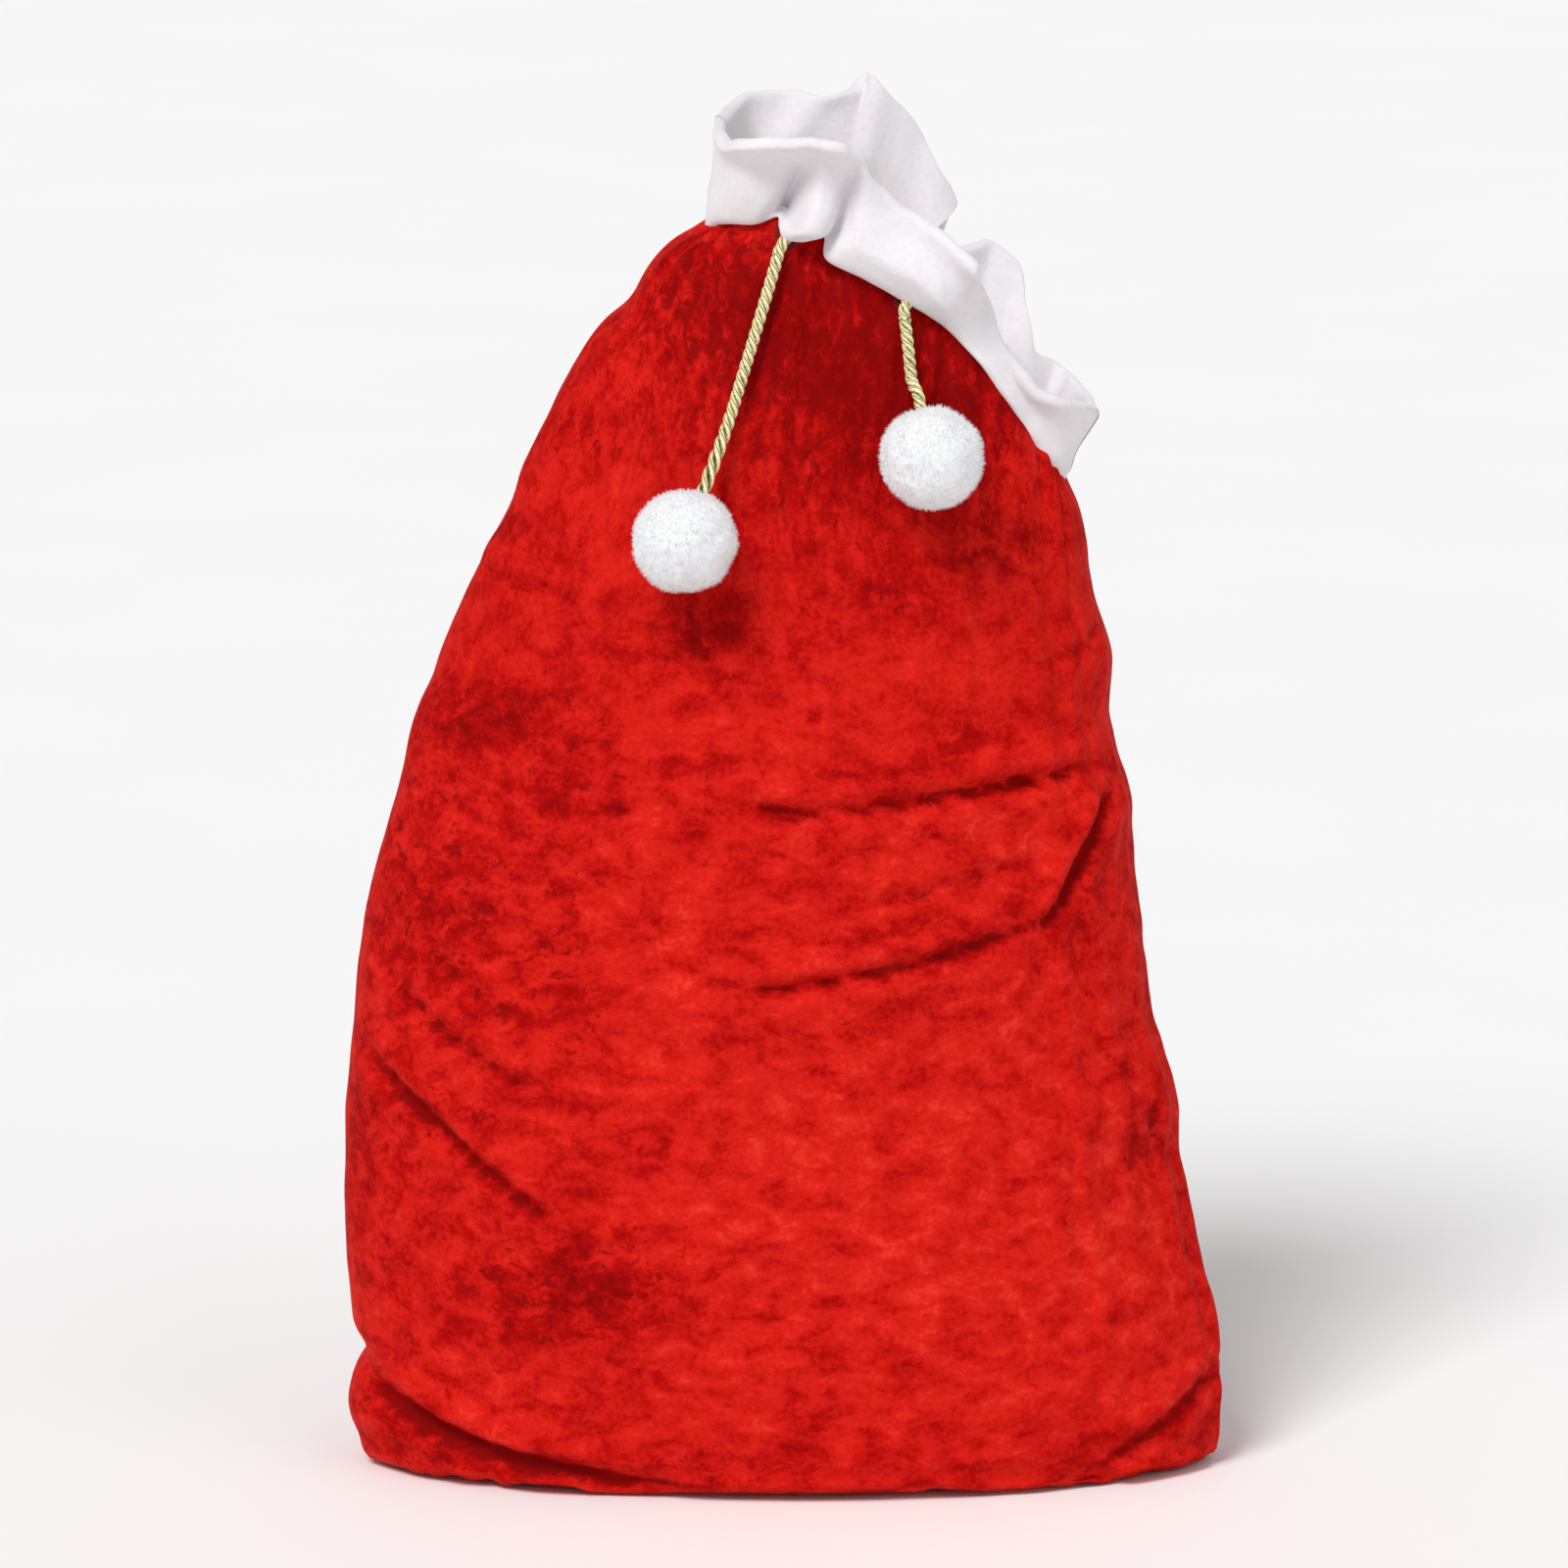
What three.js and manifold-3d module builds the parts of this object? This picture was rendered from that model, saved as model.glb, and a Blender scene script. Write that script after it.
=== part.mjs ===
// A drawstring gift sack of crushed velvet with a white plush cuff and a twisted gold cord that ends in
// two pompoms. It stands on its bottom seam, filled out, with its mouth loosely gathered and leaning to
// the right. Millimetres, +Z up, front towards -Y, origin in the middle of the bottom seam on the floor.
import * as THREE from "three";
import { mergeVertices } from "three/addons/utils/BufferGeometryUtils.js";
import Module from "manifold-3d";

const wasm = await Module();
wasm.setup();

// ---- Driving dimensions, in mm -------------------------------------------------------------------
const SACK_WIDTH = 526; // the filled sack at its widest, side seam to side seam
const SACK_HEIGHT = 756; // floor to the highest point of the gathered mouth's left end
const SACK_DEPTH = 230; // the filled sack at its deepest, front to back
const CLOTH = 2.5; // velvet with its pile
const PLUSH = 6; // the cuff, folded double
const CLEARANCE = 0.4; // between pieces that are sewn face to face

const MOUTH_DEPTH = 110; // the gathered mouth, front to back
const MOUTH_ARCH = 66; // how far the mouth's front and back rise above the line through its ends
const CUFF_HEIGHT = 70; // from the mouth's left end up to the cuff's edge
const CUFF_DEPTH = 184; // the flared edge of the cuff, front to back
const CUFF_ARCH = 80;
const MOUTH_CLOSE = THREE.MathUtils.degToRad(24); // how far each half of the mouth turns in as it closes

const CORD = 7; // diameter of the twisted cord
const CORD_PLAY = 0.5; // round the cord in the channel and in its buttonholes
const CHANNEL_ROOM = 11; // spare height beside the cord in the tunnel under the cuff
const CHANNEL_DROP = 3; // from the mouth's edge down to the tunnel
const BAND_MARGIN = 3; // velvet below the tunnel on the band round the mouth that carries it
const TAPE = 1.2; // the tape that closes the channel on the inside
const SEAM_WIDTH = 9; // seam allowance, turned to the inside
const SEAM_THICKNESS = 5;

const POMPOM = 63; // diameter of each pompom
const POMPOM_SKIN = 5; // the plush cover round the filling
const TIE_THICKNESS = 2; // thread that gathers a pompom's cover round the cord
const KNOT = 14; // diameter of the knot in each end of the cord
const THREAD = 1.6; // the raised stitching round each buttonhole

// Each end of the cord, as points on its centre line. The lead comes along the channel and out through its
// buttonhole, the bend is the short piece that lifts, and the tail hangs down the front from there to the
// top of its pompom. exitAngle is where it comes out and runAngle where the lead joins the cord in the
// channel, round the front from the left side seam to the right one, in degrees.
const CORD_ENDS = {
  left: {
    exitAngle: 63,
    runAngle: 48.5,
    lead: [
      [-15.6, -38.5, 755],
      [-10.4, -40.5, 755.4],
      [-5.1, -43, 755.8],
      [-0.7, -47.2, 756.5],
      [1.7, -54.4, 757.7],
      [0.2, -59.4, 755.3],
      [-2.3, -60.8, 751.3],
    ],
    bend: [
      [-3.3, -61.2, 749.6],
      [-5.8, -63.7, 741],
    ],
    tail: [
      [-5.9, -63.8, 740.7],
      [-16, -71.2, 707],
      [-24.5, -76, 679],
      [-34, -81, 648.5],
      [-46, -95.3, 617.6],
      [-47.8, -98.1, 613.1],
    ],
  },
  right: {
    exitAngle: 98,
    runAngle: 108.2,
    lead: [
      [86.5, -49.6, 704.3],
      [81.8, -50.2, 709.1],
      [77.4, -51.3, 714],
      [73.9, -54.4, 718.5],
      [72, -60.9, 722.1],
      [70.8, -66, 719.9],
      [69.6, -67.7, 715.4],
    ],
    bend: [
      [69, -68.2, 713.5],
      [70.1, -69.8, 704.5],
    ],
    tail: [
      [70.2, -69.8, 704.1],
      [71.1, -71.1, 696.7],
      [72.3, -72.7, 685.6],
      [73.8, -74.1, 673.1],
      [77.3, -83.2, 666.4],
      [78.4, -85.9, 661.6],
    ],
  },
};

// ---- The sack's form -----------------------------------------------------------------------------
// Each station is one oval section, from the bottom seam up to the mouth: the left and right side seam as
// [x, z], the half depth, and how far the section's middle rises. x is a share of half SACK_WIDTH, z of
// SACK_HEIGHT and depth of half SACK_DEPTH.
const STATIONS = [
  { left: [-0.95, 0], right: [0.95, 0], depth: 0.004, arch: 0 },
  { left: [-0.965, 0], right: [0.965, 0], depth: 0.5, arch: 0 },
  { left: [-0.98, 0.004], right: [0.98, 0.004], depth: 0.84, arch: 0 },
  { left: [-0.985, 0.06], right: [0.985, 0.06], depth: 0.96, arch: 0 },
  { left: [-1.0, 0.15], right: [0.93, 0.15], depth: 1.0, arch: 0 },
  { left: [-1.0, 0.323], right: [0.86, 0.317], depth: 1.0, arch: 0 },
  { left: [-0.95, 0.476], right: [0.802, 0.418], depth: 0.975, arch: 0 },
  { left: [-0.87, 0.593], right: [0.783, 0.505], depth: 0.92, arch: 0.05 },
  { left: [-0.753, 0.704], right: [0.745, 0.593], depth: 0.85, arch: 0.14 },
  { left: [-0.627, 0.795], right: [0.711, 0.674], depth: 0.765, arch: 0.28 },
  { left: [-0.487, 0.889], right: [0.684, 0.734], depth: 0.66, arch: 0.48 },
  { left: [-0.323, 0.957], right: [0.654, 0.775], depth: 0.57, arch: 0.76 },
  { left: [-0.183, 1.0], right: [0.62, 0.799], depth: null, arch: 1 },
];
const HEM = { left: [-0.171, 0], right: [0.707, -0.232] }; // the cuff's edge; z is from its own left end

const channelHeight = CORD + CHANNEL_ROOM;
const bandHeight = CHANNEL_DROP + channelHeight + BAND_MARGIN;
const halfWidth = SACK_WIDTH / 2;
const mouth = STATIONS[STATIONS.length - 1];
// One side seam, as far from the middle at its widest as the other.
function outline(side) {
  const curve = (half) =>
    new THREE.CatmullRomCurve3(
      STATIONS.map((st) => new THREE.Vector3(st[side][0] * half, 0, st[side][1] * SACK_HEIGHT)),
    );
  const widest = Math.max(...curve(halfWidth).getPoints(400).map((point) => Math.abs(point.x)));
  return curve(halfWidth ** 2 / widest);
}
const leftSeam = outline("left");
const rightSeam = outline("right");
const fullness = new THREE.CatmullRomCurve3(
  STATIONS.map((st) => {
    const depth = st === mouth ? MOUTH_DEPTH / 2 : (st.depth * SACK_DEPTH) / 2;
    return new THREE.Vector3(depth, st.arch * MOUTH_ARCH, 0);
  }),
);

// A point of an oval section: angle 0 is its left end and PI its right end; side -1 is front, 1 is back.
function onSection(left, right, depth, arch, angle, side) {
  const point = left.clone().lerp(right, (1 - Math.cos(angle)) / 2);
  point.y = side * (CLEARANCE / 2 + Math.max(0, depth - CLEARANCE / 2) * Math.sin(angle));
  point.z = Math.max(0, point.z) + arch * Math.sin(angle) ** 2;
  return point;
}

// The outside of the velvet, height 0 at the bottom seam and 1 at the mouth.
function wall(height, angle, side) {
  const { x: depth, y: arch } = fullness.getPoint(height);
  return onSection(leftSeam.getPoint(height), rightSeam.getPoint(height), depth, arch, angle, side);
}

const hemLeft = new THREE.Vector3(HEM.left[0] * halfWidth, 0, SACK_HEIGHT + CUFF_HEIGHT);
const hemRight = new THREE.Vector3(
  HEM.right[0] * halfWidth,
  0,
  SACK_HEIGHT + CUFF_HEIGHT + HEM.right[1] * SACK_HEIGHT,
);

// The outside of the cuff, height 0 where it is sewn to the mouth and 1 at its edge.
function cuff(height, angle, side) {
  const foot = wall(1, angle, side);
  foot.z += 2 * CLEARANCE;
  const edge = onSection(hemLeft, hemRight, CUFF_DEPTH / 2, CUFF_ARCH, angle, side);
  const spread = height ** 1.3;
  return new THREE.Vector3(
    THREE.MathUtils.lerp(foot.x, edge.x, spread),
    THREE.MathUtils.lerp(foot.y, edge.y, spread),
    THREE.MathUtils.lerp(foot.z, edge.z, height),
  );
}

// The unit normal of a surface at a point, towards the inside of the sack.
function inward(surface, height, angle, side) {
  const step = 0.01;
  const h = THREE.MathUtils.clamp(height, step, 1 - step);
  const a = THREE.MathUtils.clamp(angle, step, Math.PI - step);
  const up = surface(h + step, a, side).sub(surface(h - step, a, side));
  const along = surface(h, a + step, side).sub(surface(h, a - step, side));
  return along.cross(up).multiplyScalar(side).normalize();
}

// The unit direction towards the inside of the sack that stays in the plane of the oval section.
function inwardInSection(surface, height, angle, side) {
  const step = 0.01;
  const a = THREE.MathUtils.clamp(angle, step, Math.PI - step);
  const chord = surface(height, Math.PI, side).sub(surface(height, 0, side)).setY(0);
  const up = chord.cross(new THREE.Vector3(0, 1, 0));
  const along = surface(height, a + step, side).sub(surface(height, a - step, side));
  return up.cross(along).multiplyScalar(-side).normalize();
}

// A point a given depth inside a surface; a negative depth is outside it.
function inside(surface, height, angle, side, depth) {
  return surface(height, angle, side).addScaledVector(inward(surface, height, angle, side), depth);
}

// The height on the wall that lies a given distance down the cloth from the mouth.
const heightsBelow = new Map();
function belowMouth(distance, angle, side) {
  const key = [distance.toFixed(3), angle.toFixed(5), side].join();
  if (heightsBelow.has(key)) return heightsBelow.get(key);
  const step = 0.001;
  let [height, walked] = [1, 0];
  let last = wall(1, angle, side);
  while (walked < distance) {
    height -= step;
    const next = wall(height, angle, side);
    walked += next.distanceTo(last);
    last = next;
  }
  height += (step * (walked - distance)) / last.distanceTo(wall(height + step, angle, side));
  heightsBelow.set(key, height);
  return height;
}

// ---- Helpers that make solids --------------------------------------------------------------------
const range = (count) => Array.from({ length: count + 1 }, (_, i) => i / count);

function volumeOf(geometry) {
  const flat = geometry.toNonIndexed().getAttribute("position");
  const [a, b, c] = [new THREE.Vector3(), new THREE.Vector3(), new THREE.Vector3()];
  let sum = 0;
  for (let i = 0; i < flat.count; i += 3) {
    a.fromBufferAttribute(flat, i);
    b.fromBufferAttribute(flat, i + 1);
    c.fromBufferAttribute(flat, i + 2);
    sum += a.dot(b.cross(c)) / 6;
  }
  return sum;
}

// A closed body between two grids of points that match row by row.
function slab(near, far) {
  const [rows, columns] = [near.length, near[0].length];
  const points = [...near.flat(), ...far.flat()];
  const nearAt = (row, column) => row * columns + column;
  const farAt = (row, column) => rows * columns + nearAt(row, column);
  const faces = [];
  const quad = (a, b, c, d) => faces.push(a, b, c, a, c, d);
  for (let r = 0; r + 1 < rows; r++)
    for (let c = 0; c + 1 < columns; c++) {
      quad(nearAt(r, c), nearAt(r, c + 1), nearAt(r + 1, c + 1), nearAt(r + 1, c));
      quad(farAt(r, c), farAt(r + 1, c), farAt(r + 1, c + 1), farAt(r, c + 1));
    }
  for (let c = 0; c + 1 < columns; c++) {
    quad(nearAt(0, c), farAt(0, c), farAt(0, c + 1), nearAt(0, c + 1));
    quad(nearAt(rows - 1, c), nearAt(rows - 1, c + 1), farAt(rows - 1, c + 1), farAt(rows - 1, c));
  }
  const end = columns - 1;
  for (let r = 0; r + 1 < rows; r++) {
    quad(nearAt(r, 0), nearAt(r + 1, 0), farAt(r + 1, 0), farAt(r, 0));
    quad(nearAt(r, end), farAt(r, end), farAt(r + 1, end), nearAt(r + 1, end));
  }
  const made = new THREE.BufferGeometry().setFromPoints(points);
  made.setIndex(faces);
  if (volumeOf(made) < 0) made.setIndex(faces.reverse());
  made.computeVertexNormals();
  return made;
}

// The velvet below the band round the mouth, and the band itself. The band's thickness turns into the
// section's plane at the mouth's edge, where the cuff is sewn on.
const below = (height, angle, side) =>
  wall(height * belowMouth(bandHeight + 2 * CLEARANCE, angle, side), angle, side);
const band = (height, angle, side) =>
  wall(THREE.MathUtils.lerp(belowMouth(bandHeight, angle, side), 1, height), angle, side);
function bandInward(surface, height, angle, side) {
  const level = inwardInSection(surface, height, angle, side);
  return inward(surface, height, angle, side).lerp(level, height).normalize();
}

// A sheet of even thickness under a surface.
function shell(surface, side, thickness, rows, across, { edge = () => 0, direction = inward } = {}) {
  const anglesAt = (height) =>
    range(across).map((t) => THREE.MathUtils.lerp(edge(height), Math.PI - edge(height), t));
  const outer = range(rows).map((height) =>
    anglesAt(height).map((angle) => surface(height, angle, side)),
  );
  const inner = range(rows).map((height, row) =>
    anglesAt(height).map((angle, i) =>
      outer[row][i].clone().addScaledVector(direction(surface, height, angle, side), thickness),
    ),
  );
  return slab(outer, inner);
}

// A round tube along points, closed at its two ends.
function tube(points, diameter, steps, sides) {
  const corners = range(sides)
    .slice(0, -1)
    .map((t) => new THREE.Vector2(Math.cos(2 * Math.PI * t), Math.sin(2 * Math.PI * t)));
  const circle = new THREE.Shape(corners.map((corner) => corner.multiplyScalar(diameter / 2)));
  const extrudePath = new THREE.CatmullRomCurve3(points);
  return new THREE.ExtrudeGeometry(circle, { steps, extrudePath });
}

// A round tube along points that comes back to its start.
function closedTube(points, diameter, steps, sides) {
  return new THREE.TubeGeometry(new THREE.CatmullRomCurve3(points, true), steps, diameter / 2, sides, true);
}

function toSolid(geometry) {
  const bare = new THREE.BufferGeometry();
  bare.setAttribute("position", geometry.getAttribute("position"));
  bare.setIndex(geometry.index);
  const merged = mergeVertices(bare, 1e-3);
  return new wasm.Manifold(
    new wasm.Mesh({
      numProp: 3,
      vertProperties: new Float32Array(merged.getAttribute("position").array),
      triVerts: new Uint32Array(merged.index.array),
    }),
  );
}

function cut(geometry, ...tools) {
  const left = tools.reduce((solid, tool) => solid.subtract(toSolid(tool)), toSolid(geometry));
  const mesh = left.getMesh();
  const made = new THREE.BufferGeometry();
  made.setAttribute("position", new THREE.BufferAttribute(mesh.vertProperties, 3));
  made.setIndex(new THREE.BufferAttribute(mesh.triVerts, 1));
  made.computeVertexNormals();
  return made;
}

// ---- Materials -----------------------------------------------------------------------------------
const cloth = (color, roughness) => new THREE.MeshStandardMaterial({ color, roughness, metalness: 0 });
const redVelvet = cloth(0xc8150f, 0.6);
const redTape = cloth(0xa5120e, 0.8);
const whitePlush = cloth(0xf1eff2, 0.95);
const whiteFilling = cloth(0xf7f7f5, 1);
const goldCord = new THREE.MeshStandardMaterial({ color: 0xd6be6a, roughness: 0.4, metalness: 0.3 });
const whiteThread = cloth(0xe8e6e2, 0.7);
const redThread = cloth(0x8f0f0c, 0.7);

const sack = new THREE.Group();

function place(name, geometry, material) {
  const mesh = new THREE.Mesh(geometry, material);
  mesh.name = name;
  sack.add(mesh);
  return mesh;
}

// ---- The cord in its channel -----------------------------------------------------------------------
const runDepth = CLOTH + CORD_PLAY + CORD / 2; // from the velvet's outside to the cord in the channel
const channelMiddle = CHANNEL_DROP + channelHeight / 2;
const pointsOf = (route) => route.map((point) => new THREE.Vector3(...point));

// ---- Velvet ----------------------------------------------------------------------------------------
// Two panels and the band round the mouth, front and back. The leads come out through the front band.
function addVelvet() {
  const holes = Object.values(CORD_ENDS).map(({ lead }) =>
    tube(pointsOf(lead), CORD + 2 * CORD_PLAY, 16, 12),
  );
  const shape = { direction: bandInward };
  place("front_panel", shell(below, -1, CLOTH, 24, 28), redVelvet);
  place("back_panel", shell(below, 1, CLOTH, 24, 28), redVelvet);
  place("mouth_band_front", cut(shell(band, -1, CLOTH, 3, 28, shape), ...holes), redVelvet);
  place("mouth_band_back", shell(band, 1, CLOTH, 3, 28, shape), redVelvet);
}

// Seam allowances stand inside the sack: one along each side and one along the bottom.
function addSeams() {
  const half = SEAM_THICKNESS / 2;
  for (const [side, line, angle, sign] of [
    ["left", leftSeam, 0, 1],
    ["right", rightSeam, Math.PI, -1],
  ]) {
    const top = belowMouth(bandHeight + SEAM_WIDTH, angle, -1);
    const foot = 0.24; // above the turn of the wall into the base
    const strip = range(24).map((t) => {
      const height = THREE.MathUtils.lerp(foot, top, t);
      const edge = line.getPoint(height);
      const tangent = line.getTangent(height);
      const inwards = new THREE.Vector3(sign * tangent.z, 0, -sign * tangent.x).normalize();
      const near = edge.clone().addScaledVector(inwards, CLOTH + 4 * CLEARANCE);
      const far = near.clone().addScaledVector(inwards, SEAM_WIDTH);
      return [near, far];
    });
    const shifted = (y) => strip.map((row) => row.map((point) => point.clone().setY(y)));
    place(`${side}_side_seam`, slab(shifted(-half), shifted(half)), redVelvet);
  }
  const length = 2 * (0.95 * halfWidth - 4 * SEAM_WIDTH);
  const lip = new THREE.Shape();
  lip.moveTo(-half, 0);
  lip.lineTo(half, 0);
  lip.lineTo(half, SEAM_WIDTH - half);
  lip.absarc(0, SEAM_WIDTH - half, half, 0, Math.PI);
  const strip = new THREE.ExtrudeGeometry(lip, { depth: length, bevelEnabled: false, curveSegments: 6 });
  strip.rotateX(Math.PI / 2).rotateZ(Math.PI / 2);
  strip.translate(-length / 2, 0, CLOTH + CLEARANCE);
  place("bottom_seam", strip, redVelvet);
}

// The channel's tape stands off the velvet round the cord and comes back to it at both of its edges.
function addChannel() {
  const lip = CLOTH + CLEARANCE;
  const bulge = 1.1 * CORD + 5 * CORD_PLAY;
  for (const [name, side] of [
    ["channel_tape_front", -1],
    ["channel_tape_back", 1],
  ]) {
    const face = (lift) =>
      range(30).map((turn) => {
        const angle = THREE.MathUtils.lerp(0.01, Math.PI - 0.01, turn);
        return range(8).map((t) => {
          const height = belowMouth(CHANNEL_DROP + t * channelHeight, angle, side);
          const depth = lip + bulge * (1 - (2 * t - 1) ** 4) + lift;
          return inside(wall, height, angle, side, depth);
        });
      });
    place(name, slab(face(0), face(TAPE)), redTape);
  }
}

// ---- Cuff ------------------------------------------------------------------------------------------
// Each half stops short of the side seams by what it needs to turn in without meeting the other half.
function addCuff() {
  const notch = (height) => {
    const rise = cuff(height, 0, -1).distanceTo(cuff(0, 0, -1));
    const depth = -cuff(height, Math.PI / 2, -1).y;
    return Math.asin((1.3 * rise * Math.sin(MOUTH_CLOSE) + 2 * CLEARANCE) / depth);
  };
  const shape = { edge: notch, direction: inwardInSection };
  place("cuff_front", shell(cuff, -1, PLUSH, 8, 28, shape), whitePlush);
  place("cuff_back", shell(cuff, 1, PLUSH, 8, 28, shape), whitePlush);
}

// ---- Cord and pompoms ------------------------------------------------------------------------------
// The cord in the channel: two pieces in front, from the leads to the side seams, and one at the back.
function addCordInChannel() {
  const turn = 22; // where the cord comes up to a side seam, in degrees
  const along = (side, from, to, count) =>
    range(count).map((t) => {
      const angle = THREE.MathUtils.degToRad(THREE.MathUtils.lerp(from, to, t));
      return inside(wall, belowMouth(channelMiddle, angle, side), angle, side, runDepth);
    });
  const left = along(-1, CORD_ENDS.left.runAngle, turn, 5);
  const right = along(-1, CORD_ENDS.right.runAngle, 180 - turn, 8);
  place("drawcord_front_left", tube(left, CORD, 12, 8), goldCord);
  place("drawcord_front_right", tube(right, CORD, 24, 8), goldCord);
  place("drawcord_back", tube(along(1, turn, 180 - turn, 18), CORD, 44, 8), goldCord);
}

// A ring of stitching on the velvet round the hole that a lead comes out of.
function addButtonhole(side, { exitAngle, lead }) {
  const exit = THREE.MathUtils.degToRad(exitAngle);
  const height = belowMouth(channelMiddle, exit, -1);
  const out = inward(wall, height, exit, -1).negate();
  const [start, end] = [new THREE.Vector3(...lead[3]), new THREE.Vector3(...lead[5])];
  const middle = start.clone().lerp(end, 0.5);
  const rise = wall(height, exit, -1).sub(middle).dot(out) + THREAD / 2 + CLEARANCE;
  middle.addScaledVector(out, rise);
  const along = end.clone().sub(start).projectOnPlane(out).normalize();
  const across = out.clone().cross(along);
  const [long, wide] = [1.25 * CORD + 2 * THREAD, CORD / 2 + CORD_PLAY + 1.5 * THREAD];
  const ring = range(12).map((t) =>
    middle
      .clone()
      .addScaledVector(along, long * Math.cos(2 * Math.PI * t))
      .addScaledVector(across, wide * Math.sin(2 * Math.PI * t)),
  );
  place(`${side}_buttonhole`, closedTube(ring.slice(0, -1), THREAD, 24, 6), redThread);
}

// A pompom: a plush cover gathered round a ball of filling, tied where the cord goes in, with a knot in
// the cord's end inside it. It hangs in line with the last stretch of its tail.
function addPompom(side, { tail }) {
  const [before, top] = pointsOf(tail.slice(-2));
  const pole = before.sub(top).normalize();
  const centre = top.addScaledVector(pole, -(POMPOM / 2 + TIE_THICKNESS + CLEARANCE));
  const [outer, inner] = [POMPOM / 2, POMPOM / 2 - POMPOM_SKIN];
  const throat = CORD / 2 + CORD_PLAY; // the hole in the cover that the cord goes through
  const arc = (radius, from, to, count) =>
    range(count).map((t) => {
      const a = THREE.MathUtils.lerp(from, to, t);
      return new THREE.Vector2(radius * Math.sin(a), radius * Math.cos(a));
    });
  const profile = [
    ...arc(outer, Math.PI, Math.asin(throat / outer), 10),
    ...arc(inner, Math.asin(throat / inner), Math.PI, 9),
  ];
  profile[0].x = 0;
  profile[profile.length - 1].x = 0;
  const filling = new THREE.SphereGeometry(inner - 2 * CLEARANCE, 16, 10);
  const hollow = new THREE.SphereGeometry(KNOT / 2 + CORD_PLAY, 12, 8);
  const shaft = new THREE.CylinderGeometry(throat, throat, POMPOM, 12).translate(0, POMPOM / 2, 0);
  const tie = new THREE.TorusGeometry(throat + TIE_THICKNESS / 2, TIE_THICKNESS / 2, 6, 14);
  tie.rotateX(Math.PI / 2).translate(0, outer + TIE_THICKNESS / 2, 0);
  const turn = new THREE.Quaternion().setFromUnitVectors(new THREE.Vector3(0, 1, 0), pole);
  for (const [name, geometry, material] of [
    [`${side}_pompom_cover`, new THREE.LatheGeometry(profile, 20), whitePlush],
    [`${side}_pompom_filling`, cut(filling, hollow, shaft), whiteFilling],
    [`${side}_cord_knot`, new THREE.SphereGeometry(KNOT / 2, 12, 8), goldCord],
    [`${side}_pompom_tie`, tie, whiteThread],
  ]) {
    const mesh = place(name, geometry, material);
    mesh.quaternion.copy(turn);
    mesh.position.copy(centre);
  }
}

function addCordEnd(side, { lead, bend, tail }) {
  place(`${side}_cord_lead`, tube(pointsOf(lead), CORD, 14, 8), goldCord);
  place(`${side}_cord_bend`, tube(pointsOf(bend), CORD, 2, 8), goldCord);
  place(`${side}_cord_tail`, tube(pointsOf(tail), CORD, 18, 8), goldCord);
}

addVelvet();
addSeams();
addChannel();
addCuff();
addCordInChannel();
for (const [side, end] of Object.entries(CORD_ENDS)) {
  addButtonhole(side, end);
  addCordEnd(side, end);
  addPompom(side, end);
}


export default sack;
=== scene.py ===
"""The looks of a drawstring gift sack: crushed velvet, a plush cuff, a twisted gold cord and two pompoms.

Every shape is worked out in millimetres in the frame of the CAD part: +Z up, front towards -Y.
"""
import math

import bmesh
import bpy
import numpy as np
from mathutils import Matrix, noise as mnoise


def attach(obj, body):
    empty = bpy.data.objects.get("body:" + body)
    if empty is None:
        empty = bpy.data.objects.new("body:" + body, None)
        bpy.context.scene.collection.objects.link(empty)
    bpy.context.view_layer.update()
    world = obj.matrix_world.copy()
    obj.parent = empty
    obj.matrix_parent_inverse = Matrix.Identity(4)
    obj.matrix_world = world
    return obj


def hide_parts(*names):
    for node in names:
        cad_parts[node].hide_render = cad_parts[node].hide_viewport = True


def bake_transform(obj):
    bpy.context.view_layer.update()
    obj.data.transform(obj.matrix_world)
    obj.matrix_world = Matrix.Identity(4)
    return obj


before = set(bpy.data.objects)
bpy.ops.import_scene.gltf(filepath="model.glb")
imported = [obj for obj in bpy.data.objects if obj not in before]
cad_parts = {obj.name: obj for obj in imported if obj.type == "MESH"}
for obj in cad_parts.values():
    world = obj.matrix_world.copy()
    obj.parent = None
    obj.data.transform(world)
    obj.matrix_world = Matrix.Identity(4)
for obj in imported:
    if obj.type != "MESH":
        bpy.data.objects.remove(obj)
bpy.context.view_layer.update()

MM = 0.001

# ---- Driving sizes, in mm, as in the CAD part ------------------------------------------------------
HALF_WIDTH = 263.0
SACK_HEIGHT = 756.0
SACK_DEPTH = 230.0
MOUTH_DEPTH = 110.0
MOUTH_ARCH = 66.0
POMPOM = 63.0
MOUTH_MIDDLE = np.array([58.5, 0.0, 680.0])
MOUTH_UP = np.array([0.581, 0.0, 0.814])

STATIONS = [  # left x, left z, right x, right z, half depth, arch: as shares, from the floor up
    (-0.95, 0, 0.95, 0, 0.004, 0),
    (-0.965, 0, 0.965, 0, 0.5, 0),
    (-0.98, 0.004, 0.98, 0.004, 0.84, 0),
    (-0.985, 0.06, 0.985, 0.06, 0.96, 0),
    (-1.0, 0.15, 0.93, 0.15, 1.0, 0),
    (-1.0, 0.323, 0.86, 0.317, 1.0, 0),
    (-0.95, 0.476, 0.802, 0.418, 0.975, 0),
    (-0.87, 0.593, 0.783, 0.505, 0.92, 0.05),
    (-0.753, 0.704, 0.745, 0.593, 0.85, 0.14),
    (-0.627, 0.795, 0.711, 0.674, 0.765, 0.28),
    (-0.487, 0.889, 0.684, 0.734, 0.66, 0.48),
    (-0.323, 0.957, 0.654, 0.775, 0.57, 0.76),
    (-0.183, 1.0, 0.62, 0.799, MOUTH_DEPTH / SACK_DEPTH, 1),
]

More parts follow.
